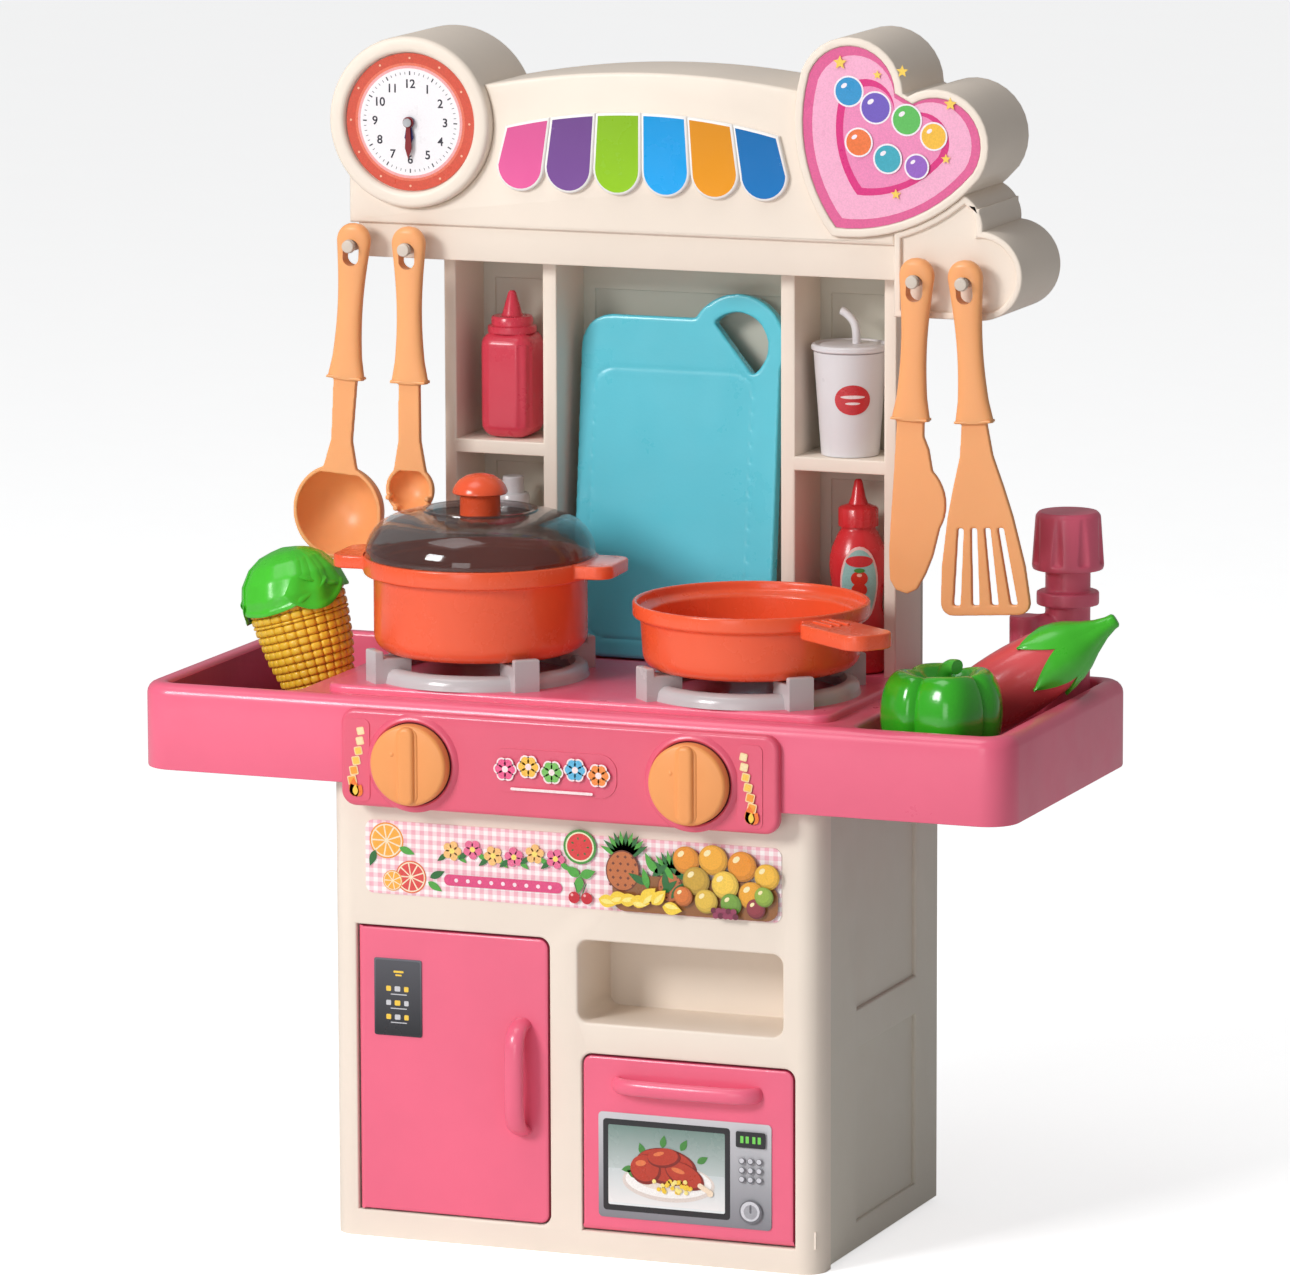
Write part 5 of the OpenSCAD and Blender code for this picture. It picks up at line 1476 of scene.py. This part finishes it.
class KITCHEN_OT_food(bpy.types.Operator):
    """Corn in two halves, pepper and eggplant"""

    bl_idname = "kitchen.food"
    bl_label = "Play food"

    def execute(self, context):
        self.corn()
        self.pepper()
        self.eggplant()
        return {"FINISHED"}

    def corn(self):
        frame_of = along((-148.4, -4, 227), -16.2)
        cut = 50
        radius = [(0, 4), (2, 8.6), (6, 12), (12, 14.6), (22, 17.8), (34, 20.8), (50, 22.6), (60, 23)]
        gold = plastic("corn_gold", srgb(240, 196, 56), rough=0.3, swing=0.16, coat=0.2)
        deep = plastic("corn_deep", srgb(176, 122, 30), rough=0.5)
        clear()
        bpy.ops.mesh.primitive_cube_add(size=1)
        seed = bpy.context.active_object
        apply(seed, "BEVEL", width=0.28, segments=2)
        halves = {"corn_tip": [], "corn_husk_end": []}
        rows = sizes().kernel_rows
        t = 2.6
        while t < cut + 9:
            r = interp(radius, t + 1.6)
            pitch = 3.7 if t > 8 else 3.0
            if t < cut < t + pitch:
                pitch = max(1.6, cut - 0.2 - t)
            for i in range(rows):
                k = bpy.data.objects.new("kernel", seed.data.copy())
                bpy.context.scene.collection.objects.link(k)
                wide = TAU * r / rows
                k.data.transform(Matrix.Rotation(TAU * i / rows, 4, "Z") @ at(r - 2.0, 0,
                        t + pitch / 2) @ Matrix.Diagonal(
                    (4.4 * MM, 0.97 * wide * MM, 0.97 * pitch * MM, 1)))
                halves["corn_tip" if t < cut - 0.1 else "corn_husk_end"].append(k)
            t += pitch
            if cut - 0.5 < t < cut + 0.2:
                t = cut + 0.5
        bpy.data.objects.remove(seed)
        core = lathe("cob", [(0, 1)] + [(interp(radius, z) - 1.2, z) for z in (2, 6, 12, 22, 34,
                cut - 0.3)] + [(0, cut - 0.3)])
        core.data.materials.append(deep)
        collar = lathe("collar", [(0, cut + 0.4), (21.4, cut + 0.4), (21.6, cut + 9), (0, cut + 9)])
        collar.data.materials.append(deep)
        for body, base in (("corn_tip", core), ("corn_husk_end", collar)):
            for k in halves[body]:
                k.data.materials.append(gold)
            cob = join(body + "_kernels", [base] + halves[body])
            place(cob, frame_of)
            smooth(cob, 60)
            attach(cob, body)
            if body == "corn_tip":
                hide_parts(body)
        # Husk: leaves that wrap the top, each with ribs and a rolled edge
        green = plastic("husk_green", srgb(70, 196, 44), rough=0.3, swing=0.14, coat=0.2)
        shape = [(0, 24.0), (6, 24.6), (12, 24.8), (20, 22.6), (27, 17.6), (31, 11.5), (33.0, 4), (33.4, 0)]
        leaves = []
        for mid, span, foot, lift in ((-100, 150, 5.0, 0.3), (20, 150, 9.0, 0), (140, 150, 4.0, 0.2),
                                                    (-40, 74, 2.4, 0.9), (80, 70, 3.4, 0.8),
                                                    (-170, 74, 2.0, 0.8)):
            verts, faces, nu, nv = [], [], 40, 26
            for j in range(nv + 1):
                v = j / nv
                for i in range(nu + 1):
                    u = 2 * i / nu - 1
                    low = foot + 9.5 * abs(u) ** 2.2
                    z = low + (33.3 - low) * v
                    r = interp(shape, z) + lift * (1 - v) + 0.45 * math.cos(u * span / 11) * (1 - v ** 3)
                    r += 0.7 * math.exp(-((v - 0.03) / 0.05) ** 2)
                    a = math.radians(mid + u * span / 2 * (1 if span > 100 else (1 - 0.6 * v)) + 14 * v)
                    r = max(r, 0.02)
                    verts.append((r * math.cos(a) * MM, r * math.sin(a) * MM, (cut + 0.3 + z) * MM))
            for j in range(nv):
                for i in range(nu):
                    k = j * (nu + 1) + i
                    faces.append((k, k + 1, k + nu + 2, k + nu + 1))
            leaf = new_mesh("leaf", verts, (), faces)
            apply(leaf, "SOLIDIFY", thickness=1.1 * MM, offset=-1)
            leaves.append(leaf)
        husk = join("corn_husk", leaves)
        place(husk, frame_of)
        piece(husk, "corn_husk_end", green, ["corn_husk_end"], 50)

    def pepper(self):
        lo, hi = (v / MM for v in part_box("pepper"))
        cx, cy = (lo.x + hi.x) / 2, (lo.y + hi.y) / 2
        clear()
        bpy.ops.mesh.primitive_uv_sphere_add(segments=120, ring_count=64, radius=1)
        body = bpy.context.active_object
        for v in body.data.vertices:
            a = math.atan2(v.co.y, v.co.x)
            u = v.co.z
            rho = math.hypot(v.co.x, v.co.y)
            fold = abs(math.sin(2 * a + 0.5)) ** 0.55
            small = 0.05 * math.cos(7 * a + 1)
            r = 28.0 * rho ** 0.62 * (0.74 + 0.24 * fold + small * 0.5) * (1 + 0.07 * u)
            z = 26.5 + 26.5 * u
            if u > 0:
                z += (3.0 * fold - 1) * rho * u * 1.6
                z -= 12 * math.exp(-(rho / 0.34) ** 2) * u
            else:
                z += 6 * math.exp(-(rho / 0.36) ** 2) * -u - 1.5 * (1 - fold) * rho * u
            v.co = Vector((r * math.cos(a) * MM, r * math.sin(a) * MM, z * MM))
        body.name = "pepper_body"
        place(body, at(cx, cy, lo.z + 0.3))
        green = plastic("pepper_green", srgb(56, 182, 34), rough=0.18, coat=0.5, swing=0.16)
        piece(body, "pepper", green, ["pepper"], 60)
        stem = rod("pepper_stem", [(cx, cy, lo.z + 38), (cx, cy, lo.z + 43), (cx + 0.6, cy - 0.4, lo.z + 48),
                                   (cx + 2.8, cy - 1.4, lo.z + 51.4), (cx + 6, cy - 3, lo.z + 52.6),
                                   (cx + 8.4, cy - 4.4, lo.z + 52.4)], 3.4)
        piece(stem, "pepper", plastic("stem_green", srgb(74, 180, 56), rough=0.3), (), 50)

    def eggplant(self):
        frame_of = along((181.6, 26, 262.2), 57, 15)
        body = lathe("eggplant_body", [(0, -40), (5, -39.6), (10, -37.2), (14, -31.6), (16.4, -22),
                (17, -10), (16.8, 2),
                                       (15.6, 14), (14.2, 22), (13.4, 27), (0, 28)], 72, 1)
        place(body, frame_of)
        piece(body, "eggplant",
              plastic("eggplant_red", srgb(226, 84, 88), rough=0.24, coat=0.35, swing=0.1),
              ["eggplant"], 50)
        skin = [(0, 17), (6, 16.6), (12, 16.1), (18, 15.4), (25, 13.6), (30, 11.4), (36, 7.6), (42, 4.6),
                (46.5, 3.2), (50.6, 2.0)]
        points, leaves = sizes().leaf_points, []
        for n in range(points):
            reach = (22, 13, 17, 12, 19, 15, 14)[n]
            mid, span = TAU * n / points - 1.35, TAU / points * 1.16
            verts, faces, nu, nv = [], [], 16, 26
            for j in range(nv + 1):
                v = j / nv
                z = 50.3 - (50.3 - 26 + reach) * v
                wide = span / 2 if z > 27 else span / 2 * max(0.0, 1 - ((27 - z) / (1 + reach)) ** 1.3)
                for i in range(nu + 1):
                    u = 2 * i / nu - 1
                    r = interp(skin, z) + 0.75 + 0.35 * math.cos(u * 3.2) * (1 if z < 42 else 0.4) + 0.5 * v ** 6
                    a = mid + u * wide + 0.12 * v
                    verts.append((r * math.cos(a) * MM, r * math.sin(a) * MM, z * MM))
            for j in range(nv):
                for i in range(nu):
                    k = j * (nu + 1) + i
                    faces.append((k, k + 1, k + nu + 2, k + nu + 1))
            leaf = new_mesh("leaf", verts, (), faces)
            apply(leaf, "SOLIDIFY", thickness=1.0 * MM, offset=1)
            leaves.append(leaf)
        stub = lathe("stub", [(0, 30), (6, 32), (4.4, 42), (3.6, 48), (3.4, 50.2), (2.6, 50.9), (0, 50.9)],
                     32)
        calyx = join("eggplant_cap", leaves + [stub])
        edit_all(calyx)
        bpy.ops.mesh.normals_make_consistent(inside=False)
        done()
        place(calyx, frame_of)
        piece(calyx, "eggplant",
              plastic("calyx_green", srgb(70, 196, 44), rough=0.28, coat=0.3, swing=0.14),
              ["eggplant_calyx"], 50)


class KITCHEN_PT_panel(bpy.types.Panel):
    """Lists the steps that build the looks"""

    bl_label = "Toy kitchen"
    bl_idname = "KITCHEN_PT_panel"
    bl_space_type = "VIEW_3D"
    bl_region_type = "UI"
    bl_category = "Toy kitchen"

    def draw(self, context):
        for group in (context.scene.kitchen_sizes, context.scene.kitchen_colours):
            for prop in group.bl_rna.properties:
                if prop.identifier not in ("rna_type", "name"):
                    self.layout.prop(group, prop.identifier)
        for step in STEPS:
            self.layout.operator(step.bl_idname)


STEPS = (KITCHEN_OT_stage, KITCHEN_OT_cabinet, KITCHEN_OT_doors, KITCHEN_OT_worktop, KITCHEN_OT_shelves,
         KITCHEN_OT_clock, KITCHEN_OT_badge, KITCHEN_OT_awning, KITCHEN_OT_prints, KITCHEN_OT_cookware,
         KITCHEN_OT_faucet, KITCHEN_OT_tools, KITCHEN_OT_shelf_goods, KITCHEN_OT_food)
CLASSES = (KitchenSizes, KitchenColours) + STEPS + (KITCHEN_PT_panel,)


def register():
    for cls in CLASSES:
        bpy.utils.register_class(cls)
    bpy.types.Scene.kitchen_sizes = bpy.props.PointerProperty(type=KitchenSizes)
    bpy.types.Scene.kitchen_colours = bpy.props.PointerProperty(type=KitchenColours)


def unregister():
    del bpy.types.Scene.kitchen_colours
    del bpy.types.Scene.kitchen_sizes
    for cls in reversed(CLASSES):
        bpy.utils.unregister_class(cls)


def main():
    register()
    for step in STEPS:
        group, name = step.bl_idname.split(".")
        getattr(getattr(bpy.ops, group), name)()


if __name__ == "__main__":
    main()
